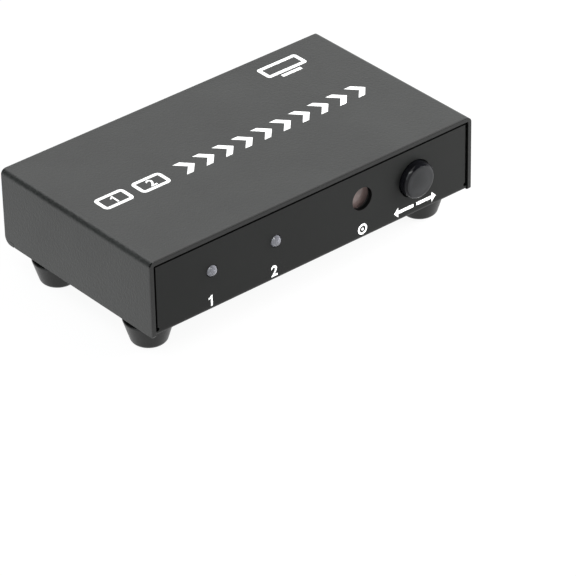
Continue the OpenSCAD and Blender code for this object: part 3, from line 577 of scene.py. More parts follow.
class Blank:
    """A mesh in the making, in millimetres, shaped by bmesh operators."""

    def __init__(self) -> None:
        """Start with nothing."""
        self.bm = bmesh.new()

    def outline(self, corners: Iterable[tuple[Vector, float]], closed: bool = True) -> list[BMEdge]:
        """Draw a wire through corners and round some of them.

        Args:
            corners: Each corner's place and the radius of its round, which may be 0.
            closed: Whether the last corner is joined to the first.

        Returns:
            The edges of the finished wire.
        """
        known = set(self.bm.edges)
        corners = list(corners)
        verts = [self.bm.verts.new(place) for place, _ in corners]
        for first, second in zip(verts, verts[1:]):
            self.bm.edges.new((first, second))
        if closed:
            self.bm.edges.new((verts[-1], verts[0]))
        for vert, (_, radius) in zip(verts, corners):
            if radius:
                self._round(vert, radius)
        return [edge for edge in self.bm.edges if edge not in known]

    def flat(self, plane: Plane, w: float, corners: Iterable[Sequence[float]]) -> list[BMEdge]:
        """Draw a closed wire in a plane.

        Args:
            plane: Plane that it lies in.
            w: Depth of the plane.
            corners: Coordinates u and v of each corner, then the radius of its round where it has one.

        Returns:
            The edges of the finished wire.
        """
        return self.outline((plane.place(u, v, w), sum(radius)) for u, v, *radius in corners)

    def whole(self) -> list[BMVert | BMEdge | BMFace]:
        """Give all vertices, edges and faces, for operators that work on the whole mesh."""
        return self.bm.verts[:] + self.bm.edges[:] + self.bm.faces[:]

    def circle(
        self, plane: Plane, u: float, v: float, w: float, radius: float, steps: int = TURN_STEPS
    ) -> list[BMEdge]:
        """Draw a circle.

        Args:
            plane: Plane that it lies in.
            u: First coordinate of its centre.
            v: Second coordinate of its centre.
            w: Depth of the plane.
            radius: Radius of the circle.
            steps: Number of its edges.

        Returns:
            Its edges.
        """
        made = bmesh.ops.create_circle(self.bm, segments=steps, radius=radius, cap_ends=False)
        for vert in made["verts"]:
            vert.co = plane.place(u + vert.co.x, v + vert.co.y, w)
        return list(dict.fromkeys(edge for vert in made["verts"] for edge in vert.link_edges))

    def fill(self, edges: Sequence[BMEdge], plane: Plane) -> None:
        """Fill flat loops, where an inner loop leaves a hole."""
        bmesh.ops.triangle_fill(
            self.bm, use_beauty=True, use_dissolve=True, edges=edges, normal=plane.place(0, 0, 1)
        )

    def cap(self, edges: Sequence[BMEdge]) -> None:
        """Close one loop with a single face."""
        bmesh.ops.contextual_create(self.bm, geom=edges)

    def draw_out(self, edges: Sequence[BMEdge], way: Vector) -> list[BMEdge]:
        """Extrude edges.

        Args:
            edges: Edges to start from.
            way: How far and where they go.

        Returns:
            The edges at the far end.
        """
        made = bmesh.ops.extrude_edge_only(self.bm, edges=edges)["geom"]
        verts = [item for item in made if isinstance(item, BMVert)]
        bmesh.ops.translate(self.bm, verts=verts, vec=way)
        made_edges = [item for item in made if isinstance(item, BMEdge)]
        return [edge for edge in made_edges if all(vert in verts for vert in edge.verts)]

    def shrink(self, edges: Sequence[BMEdge], centre: Vector, factor: float) -> None:
        """Scale the ends of edges towards a centre.

        Args:
            edges: Edges whose ends move.
            centre: Pair that stays.
            factor: Factor on the distances from the centre.
        """
        space = Matrix.Translation(-centre)
        bmesh.ops.scale(self.bm, vec=Vector((factor, factor, factor)), space=space, verts=ends(edges))

    def bend(self, edges: Sequence[BMEdge], centre: Vector, axis: Vector, turn: float) -> list[BMEdge]:
        """Carry edges round an axis, as a press brake bends a sheet.

        Args:
            edges: Edges to start from.
            centre: A point on the axis.
            axis: Direction of the axis.
            turn: Angle in radians.

        Returns:
            The edges at the end of the bend.
        """
        geometry = list(edges) + ends(edges)
        made = bmesh.ops.spin(self.bm, geom=geometry, cent=centre, axis=axis, angle=turn, steps=BEND_STEPS)
        return [item for item in made["geom_last"] if isinstance(item, BMEdge)]

    def find(self, test: Callable[[Vector], bool]) -> list[BMEdge]:
        """Give the edges whose two ends both pass a test."""
        return [edge for edge in self.bm.edges if all(test(vert.co) for vert in edge.verts)]

    def lathe(self, corners: Sequence[Corner], axis: Axis, origin: Vector, closed: bool = False) -> None:
        """Turn a profile about an axis.

        Args:
            corners: Radius, height and round of each corner of the profile.
            axis: The way in which its height runs.
            origin: The point on the axis at height 0.
            closed: Whether the profile is a ring that doesn't reach the axis.
        """
        known = set(self.bm.verts)
        profile = [(Vector((radius, 0, height)), round_) for radius, height, round_ in corners]
        edges = self.outline(profile, closed)
        geometry = edges + ends(edges)
        bmesh.ops.spin(
            self.bm, geom=geometry, cent=(0, 0, 0), axis=(0, 0, 1), angle=2 * math.pi, steps=TURN_STEPS,
            use_merge=True
        )
        turned = [vert for vert in self.bm.verts if vert not in known]
        bmesh.ops.remove_doubles(self.bm, verts=turned, dist=MERGE)
        turned = [vert for vert in self.bm.verts if vert not in known]
        bmesh.ops.transform(self.bm, matrix=Matrix.Translation(origin) @ axis.matrix(), verts=turned)

    def block(self, low: Vector, high: Vector) -> None:
        """Add a block between two corners."""
        size = Matrix.Diagonal((*(high - low), 1.0))
        bmesh.ops.create_cube(self.bm, size=1.0, matrix=Matrix.Translation((low + high) / 2) @ size)

    def piece(self, name: str) -> bpy.types.Object:
        """Turn the mesh into an object, in metres.

        Args:
            name: Name of the piece.

        Returns:
            The object, linked to the scene.
        """
        bmesh.ops.remove_doubles(self.bm, verts=self.bm.verts[:], dist=MERGE)
        bmesh.ops.recalc_face_normals(self.bm, faces=self.bm.faces[:])
        if self._flux() < 0:
            bmesh.ops.reverse_faces(self.bm, faces=self.bm.faces[:])
        bmesh.ops.scale(self.bm, vec=Vector((MM, MM, MM)), verts=self.bm.verts[:])
        mesh = bpy.data.meshes.new(name)
        self.bm.to_mesh(mesh)
        self.bm.free()
        mesh.shade_smooth()
        made = bpy.data.objects.new(name, mesh)
        bpy.context.scene.collection.objects.link(made)
        return made

    def _round(self, vert: BMVert, radius: float) -> None:
        """Round the corner of a wire at one vertex.

        Args:
            vert: Vertex at the corner.
            radius: Radius of the round.
        """
        first, second = (edge.other_vert(vert).co - vert.co for edge in vert.link_edges)
        reach = radius / math.tan(first.angle(second) / 2)
        bmesh.ops.bevel(
            self.bm, geom=[vert], offset=reach, offset_type="OFFSET", segments=ROUND_STEPS, profile=0.5,
            affect="VERTICES", material=-1
        )

    def _flux(self) -> float:
        """Sum how far the faces look away from the mesh's middle.

        Returns:
            The sum, which is negative where most faces look inwards.
        """
        verts = self.bm.verts
        centre = sum((vert.co for vert in verts), Vector()) / len(verts)
        return sum(
            face.calc_area() * face.normal.dot(face.calc_center_median() - centre) for face in self.bm.faces
        )


def soften(
    piece: bpy.types.Object, edge: float, sheet: float = 0.0, weighted: bool = False
) -> bpy.types.Object:
    """Give a piece its wall and round edges.

    Args:
        piece: Object to finish.
        edge: Width of the round on sharp edges, or 0 where the mesh has its own.
        sheet: Thickness of the wall inside an open sheet, or 0 for a closed mesh.
        weighted: Whether the mesh's own weights choose and scale the rounds.

    Returns:
        The same object.
    """
    if sheet:
        wall = piece.modifiers.new("wall", "SOLIDIFY")
        wall.thickness = sheet * MM
        wall.offset = -1.0
        wall.use_even_offset = True
    if edge:
        rounds = piece.modifiers.new("rounds", "BEVEL")
        rounds.width = edge * MM
        rounds.segments = LIP_STEPS if weighted else EDGE_STEPS
        rounds.limit_method = "WEIGHT" if weighted else "ANGLE"
        rounds.angle_limit = SHARP
        rounds.harden_normals = True
    else:
        piece.data.set_sharp_from_angle(angle=SHARP)
        normals = piece.modifiers.new("normals", "WEIGHTED_NORMAL")
        normals.keep_sharp = True
    return piece


def mount(piece: bpy.types.Object, finish: Finish, *nodes: str, body: Body = Body.CASE) -> bpy.types.Object:
    """Dress a piece, let it ride on its body and report it.

    Args:
        piece: Object to mount.
        finish: Finish of the piece.
        nodes: CAD nodes that it stands for.
        body: Body that carries it.

    Returns:
        The same object.
    """
    piece.data.materials.append(finish.material())
    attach(piece, body.value)
    if nodes:
        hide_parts(*nodes)
    log.info("%s on %s, for %s", piece.name, body.value, ", ".join(nodes) or "no node")
    return piece


class RoundFinish(Enum):
    """The finish of the rounds along a sheet's cut edges, as a material slot."""

    NEIGHBOURS = -1
    SHEET = 0
    RIM = 1


def paint_sheet(
    piece: bpy.types.Object, rim: Finish, rounds: RoundFinish, inside: Finish | None = None
) -> None:
    """Give the cut edges of a sheet their own finish, and its inside too where it has one.

    Args:
        piece: The sheet, with its wall and its rounds.
        rim: Finish of the cut edges.
        rounds: Which finish the rounds have.
        inside: Finish of the inner side behind outer faces that have the rim's finish; the rest of the
            inner side then has the rim's finish.
    """
    wall = piece.modifiers["wall"]
    piece.data.materials.append(rim.material())
    wall.material_offset_rim = 1
    if inside:
        piece.data.materials.append(rim.material())
        piece.data.materials.append(inside.material())
        wall.material_offset = 2
    piece.modifiers["rounds"].material = rounds.value


def direction(azimuth: float, elevation: float) -> Vector:
    """Give the way from the object to a place; azimuth 0 is in front of it and 90 to its right."""
    turn, rise = math.radians(azimuth), math.radians(elevation)
    return Vector((math.sin(turn) * math.cos(rise), -math.cos(turn) * math.cos(rise), math.sin(rise)))


def square(name: str, side: float, place: Matrix) -> bpy.types.Object:
    """Make a flat square.

    Args:
        name: Name of the square.
        side: Length of its sides.
        place: Its place and its turn, in metres.

    Returns:
        The object, not yet in the scene.
    """
    mesh = bpy.data.meshes.new(name)
    bm = bmesh.new()
    bmesh.ops.create_grid(bm, x_segments=1, y_segments=1, size=side * MM / 2, matrix=place)
    bm.to_mesh(mesh)
    bm.free()
    return bpy.data.objects.new(name, mesh)


@dataclass(frozen=True)
class Softbox:
    """A lamp that looks at the object, with its power in watts."""

    name: str
    azimuth: float
    elevation: float
    distance: float
    size: Pair
    power: float
    tint: Colour = (1.0, 1.0, 1.0)
    reflected: bool = True

    def hang(self) -> None:
        """Hang the lamp at its place."""
        data = bpy.data.lights.new(self.name, "AREA")
        data.shape = "RECTANGLE"
        data.size, data.size_y = (side * MM for side in self.size)
        data.energy = self.power
        data.color = self.tint
        back = direction(self.azimuth, self.elevation)
        lamp = bpy.data.objects.new(self.name, data)
        lamp.visible_glossy = self.reflected
        turn = (-back).to_track_quat("-Z", "Y").to_matrix().to_4x4()
        lamp.matrix_world = Matrix.Translation(back * self.distance * MM) @ turn
        bpy.context.scene.collection.objects.link(lamp)


@dataclass(frozen=True)
class Flag:
    """A square black card that only reflections show, so that bends and edges stand out."""

    name: str
    azimuth: float
    elevation: float
    distance: float
    side: float

    def hang(self) -> None:
        """Hang the card at its place."""
        back = direction(self.azimuth, self.elevation)
        turn = back.to_track_quat("Z", "Y").to_matrix().to_4x4()
        card = square(self.name, self.side, Matrix.Translation(back * self.distance * MM) @ turn)
        card.data.materials.append(SHADE_BLACK.material())
        for kind in ("visible_camera", "visible_diffuse", "visible_shadow", "visible_transmission"):
            setattr(card, kind, False)
        bpy.context.scene.collection.objects.link(card)


HUNG: tuple[Softbox | Flag, ...] = (
    Softbox(
        "left_softbox", azimuth=-85, elevation=38, distance=700, size=(600, 600), power=1.95,
        tint=(0.88, 0.98, 1.0)
    ),
    Softbox("top_softbox", azimuth=170, elevation=76, distance=800, size=(700, 700), power=1.7),
    Softbox(
        "right_softbox", azimuth=62, elevation=22, distance=240, size=(120, 120), power=1.1, reflected=False
    ),
    Softbox("camera_softbox", azimuth=-64, elevation=58, distance=600, size=(520, 160), power=1.8),
    Softbox("rear_softbox", azimuth=168, elevation=46, distance=700, size=(220, 220), power=0.14),
    Flag("left_flag", azimuth=-135, elevation=30, distance=500, side=560),
    Flag("right_flag", azimuth=45, elevation=46, distance=500, side=760),
)


@dataclass
class Studio:
    """Camera, floor and soft light of the picture."""

    azimuth: float = -39.793
    elevation: float = 32.858
    roll: float = -1.179
    aim: tuple[float, float, float] = (-4.094, -22.737, 0.0)
    distance: float = 950.372
    lens: float = 240.26
    sensor: float = 36.0
    clip: Pair = (0.01, 20.0)
    floor_size: float = 4000.0
    floor_shade: float = 0.9
    floor_glow: float = 0.93
    ambient: float = 0.42

    def build(self) -> None:
        """Set the camera, the floor and the surroundings, and hang the lamps and the cards."""
        self._camera()
        self._floor()
        self._world()
        for item in HUNG:
            item.hang()
        bpy.context.scene.view_settings.view_transform = "Standard"

    def _camera(self) -> None:
        """Place the camera as the photograph has it."""
        turn = math.radians(self.azimuth)
        back = direction(self.azimuth, self.elevation)
        right = Vector((math.cos(turn), math.sin(turn), 0))
        basis = Matrix((right, back.cross(right), back)).transposed().to_4x4()
        rolled = basis @ Matrix.Rotation(math.radians(self.roll), 4, "Z")
        data = bpy.data.cameras.new("camera")
        data.lens = self.lens
        data.sensor_width = self.sensor
        data.clip_start, data.clip_end = self.clip
        camera = bpy.data.objects.new("camera", data)
        camera.matrix_world = Matrix.Translation((Vector(self.aim) + back * self.distance) * MM) @ rolled
        bpy.context.scene.collection.objects.link(camera)
        bpy.context.scene.camera = camera

    def _seen(self, tree: bpy.types.NodeTree) -> Socket:
        """Add nodes that tell rays that show the background from rays that light the object.

        Args:
            tree: Nodes of a material or of the world.

        Returns:
            An output of 1 for rays that show the background, and of 0 for the others.
        """
        path = tree.nodes.new("ShaderNodeLightPath")
        seen = path.outputs["Is Camera Ray"]
        for name in ("Is Glossy Ray", "Is Transmission Ray"):
            either = tree.nodes.new("ShaderNodeMath")
            either.operation = "MAXIMUM"
            tree.links.new(seen, either.inputs[0])
            tree.links.new(path.outputs[name], either.inputs[1])
            seen = either.outputs[0]
        return seen

    def _floor(self) -> None:
        """Lay a pale floor that is white where it is seen and keeps the object's shadow."""
        floor = square("floor", self.floor_size, Matrix.Identity(4))
        bpy.context.scene.collection.objects.link(floor)
        material = bpy.data.materials.new("pale_floor")
        material.use_nodes = True
        tree = material.node_tree
        tree.nodes.clear()
        matt, white = (tree.nodes.new(kind) for kind in ("ShaderNodeBsdfDiffuse", "ShaderNodeEmission"))
        matt.inputs["Color"].default_value = (self.floor_shade, self.floor_shade, self.floor_shade, 1)
        share = tree.nodes.new("ShaderNodeMath")
        share.operation = "MULTIPLY"
        share.inputs[1].default_value = self.floor_glow
        tree.links.new(self._seen(tree), share.inputs[0])
        mix = tree.nodes.new("ShaderNodeMixShader")
        out = tree.nodes.new("ShaderNodeOutputMaterial")
        tree.links.new(share.outputs[0], mix.inputs[0])
        tree.links.new(matt.outputs[0], mix.inputs[1])
        tree.links.new(white.outputs[0], mix.inputs[2])
        tree.links.new(mix.outputs[0], out.inputs["Surface"])
        floor.data.materials.append(material)

    def _world(self) -> None:
        """Surround the object with white that lights it at a plain level."""
        world = bpy.data.worlds.new("studio")
        world.use_nodes = True
        tree = world.node_tree
        tree.nodes.clear()
        light, white = (tree.nodes.new("ShaderNodeBackground") for _ in range(2))
        for node, strength in ((light, self.ambient), (white, 1.0)):
            node.inputs["Color"].default_value = (1, 1, 1, 1)
            node.inputs["Strength"].default_value = strength
        mix = tree.nodes.new("ShaderNodeMixShader")
        out = tree.nodes.new("ShaderNodeOutputWorld")
        tree.links.new(self._seen(tree), mix.inputs[0])
        tree.links.new(light.outputs[0], mix.inputs[1])
        tree.links.new(white.outputs[0], mix.inputs[2])
        tree.links.new(mix.outputs[0], out.inputs["Surface"])
        bpy.context.scene.world = world


@dataclass
class CoverShell:
    """Cover of one bent sheet: the top and both sides."""

    sheet: float = 1.1
    bend: float = 1.5
    front_corner: float = 0.6
    rear_corner: float = 1.1
    strip_gap: float = 0.08
    edge: float = 0.5
    # Width of the cover's front strip, its round included, that gets the darker painted shade.
    lip: float = 0.53
    rear_edge: float = 0.1

    def build(self) -> None:
        """Draw one side, mirror it, join the two by the top and round the bends and the edges."""
        low, high = box_mm("cover")
        step_y = box_mm("rear_panel")[0].y - self.strip_gap
        step_z = box_mm("chassis")[0].z + self.sheet + self.strip_gap
        corners = [
            (low.y, low.z, self.front_corner),
            (step_y, low.z, self.front_corner),
            (step_y, step_z, 0.0),
            (high.y, step_z, self.rear_corner),
            (high.y, high.z, 0.0),
            (low.y, high.z, 0.0),
        ]
        blank = Blank()
        blank.cap(blank.flat(Plane.SIDE, low.x, corners))
        bmesh.ops.mirror(blank.bm, geom=blank.whole(), axis="X", matrix=Matrix.Identity(4))
        bmesh.ops.bridge_loops(blank.bm, edges=blank.find(lambda place: place.z > high.z - MERGE))
        bmesh.ops.recalc_face_normals(blank.bm, faces=blank.bm.faces[:])
        top = blank.find(lambda place: place.z > high.z - MERGE)
        folds = [edge for edge in top if len(edge.link_faces) == 2]
        bmesh.ops.bevel(
            blank.bm, geom=folds, offset=self.bend, offset_type="OFFSET", segments=BEND_STEPS, profile=0.5,
            affect="EDGES", material=-1
        )
        # The front strip of the cover takes the darker rim paint, painted shade for the dark line along the
        # front edge.
        front_shade_strip_y = low.y + self.lip
        bmesh.ops.bisect_plane(blank.bm, geom=blank.whole(), plane_co=(0, front_shade_strip_y, 0), plane_no=(0, 1, 0))
        for face in blank.bm.faces:
            face.material_index = int(face.calc_center_median().y < front_shade_strip_y)
        weights = blank.bm.edges.layers.float.new("bevel_weight_edge")
        for edge in blank.bm.edges:
            behind = all(vert.co.y > step_y - MERGE for vert in edge.verts)
            edge[weights] = edge.is_boundary * (self.rear_edge / self.edge if behind else 1.0)
        piece = soften(blank.piece("cover_shell"), self.edge, self.sheet, weighted=True)
        mount(piece, COVER_PAINT, "cover")
        # The cut edges and the inside get the darker rim paint, and the inside behind the front strip the
        # near-black: painted shade.
        paint_sheet(piece, COVER_RIM_SHADE, RoundFinish.NEIGHBOURS, SHADE_BLACK)


@dataclass
class ChassisSheet:
    """Front panel, floor and side flanges of one bent sheet."""

    sheet: float = 1.1
    bend: float = 1.4
    panel_gap: float = 0.7
    floor_gap: float = 0.1
    relief: float = 0.5
    flange_from_panel: float = 7.0
    lamp_hole: float = 1.65
    window_hole: float = 3.15
    button_hole: float = 5.2
    foot_hole: float = 1.7
    standoff_hole: float = 2.03
    front_standoff: Pair = (24.0, -20.1)
    rear_standoff: Pair = (40.9, 10.4)
    flange_height: float = 5.5
    edge: float = 0.18

    def build(self) -> None:
        """Draw the panel, bend the floor from it and the flanges from the floor."""
        low, high = box_mm("chassis")
        blank = Blank()
        inner = box_mm("cover")[1].x - self.sheet
        half, wide = inner - self.panel_gap, inner - self.floor_gap
        self._panel(blank, half, wide, low, high)
        self._floor(blank, half, wide, low, high)
        piece = mount(soften(blank.piece("chassis_sheet"), self.edge, self.sheet), PANEL_PAINT, "chassis")
        # Its cut edges and hole walls get the near-black paint, painted shade for the gap beside the cover
        # and the insides of the holes.
        paint_sheet(piece, SHADE_BLACK, RoundFinish.SHEET)

    def _panel(self, blank: Blank, half: float, wide: float, low: Vector, high: Vector) -> None:
        """Draw the front panel with its holes and corner reliefs, and the bend under it.

        Args:
            blank: Mesh to draw in.
            half: Half the panel's width.
            wide: Half the width of the bend.
            low: Lowest corner of the chassis.
            high: Highest corner of the chassis.
        """
        foot_z = low.z + self.bend
        notch_z = foot_z + self.relief
        right = arc(half, notch_z, self.relief, 90, 270, 2 * ROUND_STEPS)
        left = arc(-half, notch_z, self.relief, -90, 90, 2 * ROUND_STEPS)
        rim = [(-half, high.z), (half, high.z), *right, *left]
        edges = blank.flat(Plane.FRONT, low.y, rim)
        holes = [
            ("lamp_1_lens", self.lamp_hole),
            ("lamp_2_lens", self.lamp_hole),
            ("ir_window", self.window_hole),
            ("select_button", self.button_hole),
        ]
        for node, radius in holes:
            centre = middle(node)
            edges += blank.circle(Plane.FRONT, centre.x, centre.z, low.y, radius)
        blank.fill(edges, Plane.FRONT)
        for side in (-1, 1):
            ends = (Plane.FRONT.place(side * x, foot_z, low.y) for x in (half, wide))
            blank.outline(((end, 0.0) for end in ends), closed=False)
        lower = blank.find(lambda place: abs(place.z - foot_z) < MERGE)
        blank.bend(lower, Vector((0, low.y + self.bend, foot_z)), Vector((1, 0, 0)), QUARTER)

    def _floor(self, blank: Blank, half: float, wide: float, low: Vector, high: Vector) -> None:
        """Draw the floor with its holes, and bend up its flanges.

        Args:
            blank: Mesh to draw in.
            half: Half the panel's width.
            wide: Half the width of the bend.
            low: Lowest corner of the chassis.
            high: Highest corner of the chassis.
        """
        flat = high.x - self.bend
        start = low.y + self.sheet + self.flange_from_panel
        stop = box_mm("cover")[1].y - self.flange_from_panel
        half_rim = [
            (half, low.y + self.bend),
            (wide, low.y + self.bend),
            (wide, start - self.relief),
            (flat, start - self.relief),
            (flat, start),
            (flat, stop),
            (flat, high.y),
        ]
        rim = half_rim + [(-x, y) for x, y in reversed(half_rim)]
        edges = blank.flat(Plane.FLOOR, low.z, rim)
        for node in FEET:
            centre = middle(node)
            edges += blank.circle(Plane.FLOOR, centre.x, centre.y, low.z, self.foot_hole, HOLE_STEPS)
        for x, y in (self.front_standoff, self.rear_standoff):
            for side in (-1, 1):
                edges += blank.circle(Plane.FLOOR, side * x, y, low.z, self.standoff_hole, HOLE_STEPS)
        blank.fill(edges, Plane.FLOOR)
        rise = box_mm("standoffs")[0].z + self.flange_height - low.z - self.bend
        for side in (-1, 1):
            fold = blank.find(
                lambda place: abs(place.x - side * flat) < MERGE and start - MERGE < place.y < stop + MERGE
            )
            centre = Vector((side * flat, 0, low.z + self.bend))
            bent = blank.bend(fold, centre, Vector((0, 1, 0)), -side * QUARTER)
            blank.draw_out(bent, Vector((0, 0, rise)))


@dataclass
class RearPlate:
    """Rear panel with its cut-outs and the bent foot under it."""

    sheet: float = 1.1
    corner: float = 1.5
    bend: float = 2.2
    socket_gap: float = 0.25
    cut_corner: float = 0.4
    inlet_hole: float = 4.2
    screw_hole: float = 1.7
    screws_x: float = 45.9
    edge: float = 0.1

    def build(self) -> None:
        """Draw the panel, cut its holes and bend its foot."""
        low, high = box_mm("rear_panel")
        foot_z = low.z + self.bend
        rim = [
            (low.x, foot_z, 0.0),
            (high.x, foot_z, 0.0),
            (high.x, high.z, self.corner),
            (low.x, high.z, self.corner),
        ]
        blank = Blank()
        edges = blank.flat(Plane.FRONT, high.y, rim)
        for name in VideoSocket.NAMES:
            edges += blank.flat(
                Plane.FRONT, high.y, VideoSocket(name).corners(self.socket_gap, self.cut_corner)
            )
        inlet = middle("power_jack_pin")
        edges += blank.circle(Plane.FRONT, inlet.x, PowerInlet().axis_z(), high.y, self.inlet_hole)
        screw_z = middle("cover_screws").z
        for side in (-1, 1):
            edges += blank.circle(Plane.FRONT, side * self.screws_x, screw_z, high.y, self.screw_hole)
        blank.fill(edges, Plane.FRONT)
        lower = blank.find(lambda place: abs(place.z - foot_z) < MERGE)
        centre = Vector((0, high.y - self.bend, foot_z))
        foot = blank.bend(lower, centre, Vector((1, 0, 0)), -QUARTER)
        blank.draw_out(foot, Vector((0, low.y - centre.y, 0)))
        piece = mount(soften(blank.piece("rear_plate"), self.edge, self.sheet), PANEL_PAINT, "rear_panel")
        # Its cut edges and their rounds take the cover's lighter paint rather than the plate's: painted
        # light that fills in the shaded groove where the plate meets the cover.
        paint_sheet(piece, COVER_PAINT, RoundFinish.RIM)


@dataclass
class RubberFoot:
    """Tapered rubber foot with a neck, a recess for its screw and a round edge at the table."""

    node: str
    base: float = 4.45
    base_edge: float = 1.55
    top_edge: float = 0.45
    taper_top: float = 7.0
    swell: float = 0.03
    neck: float = 4.8
    fillet: float = 0.3
    recess: float = 3.03
    recess_top: float = 3.6
    hole: float = 1.7

    def build(self) -> None:
        """Turn the foot from its closed profile."""
        low, high = box_mm(self.node)
        widest = (high.x - low.x) / 2
        profile = [
            (self.hole, high.z, 0.0),
            (self.neck, high.z, 0.0),
            (self.neck, self.taper_top, self.fillet),
            (widest + self.swell, self.taper_top, self.top_edge),
            (self.base, low.z, self.base_edge),
            (self.recess, low.z, self.fillet),
            (self.recess, self.recess_top, 0.0),
            (self.hole, self.recess_top, 0.0),
        ]
        blank = Blank()
        centre = middle(self.node)
        blank.lathe(profile, Axis.UP, Vector((centre.x, centre.y, 0)), closed=True)
        mount(soften(blank.piece(self.node + "_rubber"), 0.0), FOOT_RUBBER, self.node)


@dataclass
class CrossHeadScrews:
    """A group of like screws with pan heads, cross recesses and threads."""

    node: str
    axis: Axis
    seats: Sequence[Vector]
    length: float
    head: float = 2.75
    head_height: float = 1.9
    wall: float = 0.75
    top: float = 1.75
    shank: float = 1.5
    thread_depth: float = 0.22
    pitch: float = 0.5
    arm: float = 1.5
    arm_width: float = 0.72
    recess: float = 1.1
    recess_taper: float = 0.55
    under_round: float = 0.15
    crown_round: float = 0.9

    def build(self) -> None:
        """Make each screw on its axis, with its head's underside on its seat."""
        blank = Blank()
        for seat in self.seats:
            known = set(blank.bm.verts)
            blank.lathe(self._profile(), Axis.UP, Vector((0, 0, 0)))
            rim = blank.find(lambda place: abs(place.z - self.head_height) < MERGE)
            rim = [edge for edge in rim if not any(vert in known for vert in edge.verts)]
            cross = blank.flat(Plane.FLOOR, self.head_height, self._cross())
            blank.fill(rim + cross, Plane.FLOOR)
            pit = blank.draw_out(cross, Vector((0, 0, -self.recess)))
            blank.shrink(pit, Vector((0, 0, self.head_height - self.recess)), self.recess_taper)
            blank.cap(pit)
            made = [vert for vert in blank.bm.verts if vert not in known]
            place = Matrix.Translation(seat) @ self.axis.matrix()
            bmesh.ops.transform(blank.bm, matrix=place, verts=made)
        mount(soften(blank.piece(self.node + "_pan_heads"), 0.0), ZINC, self.node)

    def _profile(self) -> list[Corner]:
        """Give the profile from the shank's tip, up its thread, to the rim of the flat top.

        Returns:
            Radius, height and round of each corner.
        """
        turns = int(self.length / self.pitch)
        thread = [
            (self.shank - self.thread_depth * (step % 2), -self.length + step * self.pitch / 2, 0.0)
            for step in range(1, 2 * turns)
        ]
        return [
            (0.0, -self.length, 0.0),
            (self.shank - self.thread_depth, -self.length, 0.0),
            *thread,
            (self.shank - self.thread_depth, 0.0, 0.0),
            (self.head, 0.0, self.under_round),
            (self.head, self.wall, self.crown_round),
            (self.top, self.head_height, 0.0),
        ]

    def _cross(self) -> list[Pair]:
        """Give the outline of the cross recess.

        Returns:
            Its corners in order.
        """
        half = self.arm_width / 2
        quarter = [(self.arm, -half), (self.arm, half), (half, half)]
        points = []
        for _ in range(4):
            points += quarter
            quarter = [(-y, x) for x, y in quarter]
        return points


@dataclass
class FootWashers:
    """Washers in the recesses of the feet."""

    outer: float = 3.0
    inner: float = 1.7
    edge: float = 0.12

    def build(self) -> None:
        """Turn one washer for each foot."""
        low, high = box_mm("foot_washers")
        thick = high.z - low.z
        profile = [
            (self.inner, 0.0, self.edge),
            (self.outer, 0.0, self.edge),
            (self.outer, thick, 0.0),
            (self.inner, thick, 0.0),
        ]
        blank = Blank()
        for node in FEET:
            centre = middle(node)
            blank.lathe(profile, Axis.UP, Vector((centre.x, centre.y, low.z)), closed=True)
        mount(soften(blank.piece("foot_washer_rings"), 0.0), ZINC, "foot_washers")


@dataclass
class IndicatorLamp:
    """Lamp with a clear domed lens and the bright cup inside it."""

    number: int
    radius: float = 1.58
    rim: float = 1.0
    cup: float = 0.62
    cup_height: float = 0.7
    cup_foot: float = 0.8
    cup_pit: float = 0.5
    post: float = 0.45
    fillet: float = 0.1
    dome_steps: int = 10

    def build(self) -> None:
        """Turn the lens and set the cup and its post into it."""
        node = f"lamp_{self.number}_lens"
        low, high = box_mm(node)
        centre = middle(node)
        rear = Vector((centre.x, high.y, centre.z))
        length = high.y - low.y
        dome = arc(0.0, length - self.radius, self.radius, 0, 90, self.dome_steps)
        profile = [
            (0.0, 0.0, 0.0),
            (high.x - centre.x, 0.0, self.fillet),
            (high.x - centre.x, self.rim, self.fillet),
            (self.radius, self.rim, 0.0),
            *((radius, height, 0.0) for radius, height in dome),
        ]
        blank = Blank()
        blank.lathe(profile, Axis.FRONT, rear)
        mount(soften(blank.piece(f"lamp_{self.number}_dome"), 0.0), LAMP_CLEAR, node)
        self._cup(rear, length - 2 * self.radius)

    def _cup(self, rear: Vector, height: float) -> None:
        """Make the reflector cup and the two posts that carry it.

        Args:
            rear: Middle of the lens's flat back.
            height: How far the cup's foot lies in front of that back.
        """
        half = self.post / 2
        blank = Blank()
        for side in (-1, 1):
            x = rear.x + side * self.cup
            low = Vector((x - half, rear.y - height - self.cup_height / 2, rear.z - half))
            blank.block(low, Vector((x + half, rear.y, rear.z + half)))
        profile = [
            (0.0, 0.0, 0.0),
            (self.cup * self.cup_foot, 0.0, self.fillet),
            (self.cup, self.cup_height, 0.0),
            (self.cup * self.cup_pit, self.cup_height * self.cup_pit, 0.0),
            (0.0, self.cup_height * self.cup_pit, 0.0),
        ]
        blank.lathe(profile, Axis.FRONT, rear - Vector((0, height, 0)))
        mount(soften(blank.piece(f"lamp_{self.number}_cup"), 0.0), TINNED)


@dataclass
class InfraredWindow:
    """Dark red window behind its hole in the front panel."""

    edge: float = 0.15

    def build(self) -> None:
        """Turn the window as a disc with round edges."""
        low, high = box_mm("ir_window")
        centre = middle("ir_window")
        radius = (high.x - low.x) / 2
        profile = [
            (0.0, 0.0, 0.0),
            (radius, 0.0, self.edge),
            (radius, high.y - low.y, self.edge),
            (0.0, high.y - low.y, 0.0),
        ]
        blank = Blank()
        blank.lathe(profile, Axis.FRONT, Vector((centre.x, high.y, centre.z)))
        mount(soften(blank.piece("ir_window_disc"), 0.0), WINDOW_RED, "ir_window")


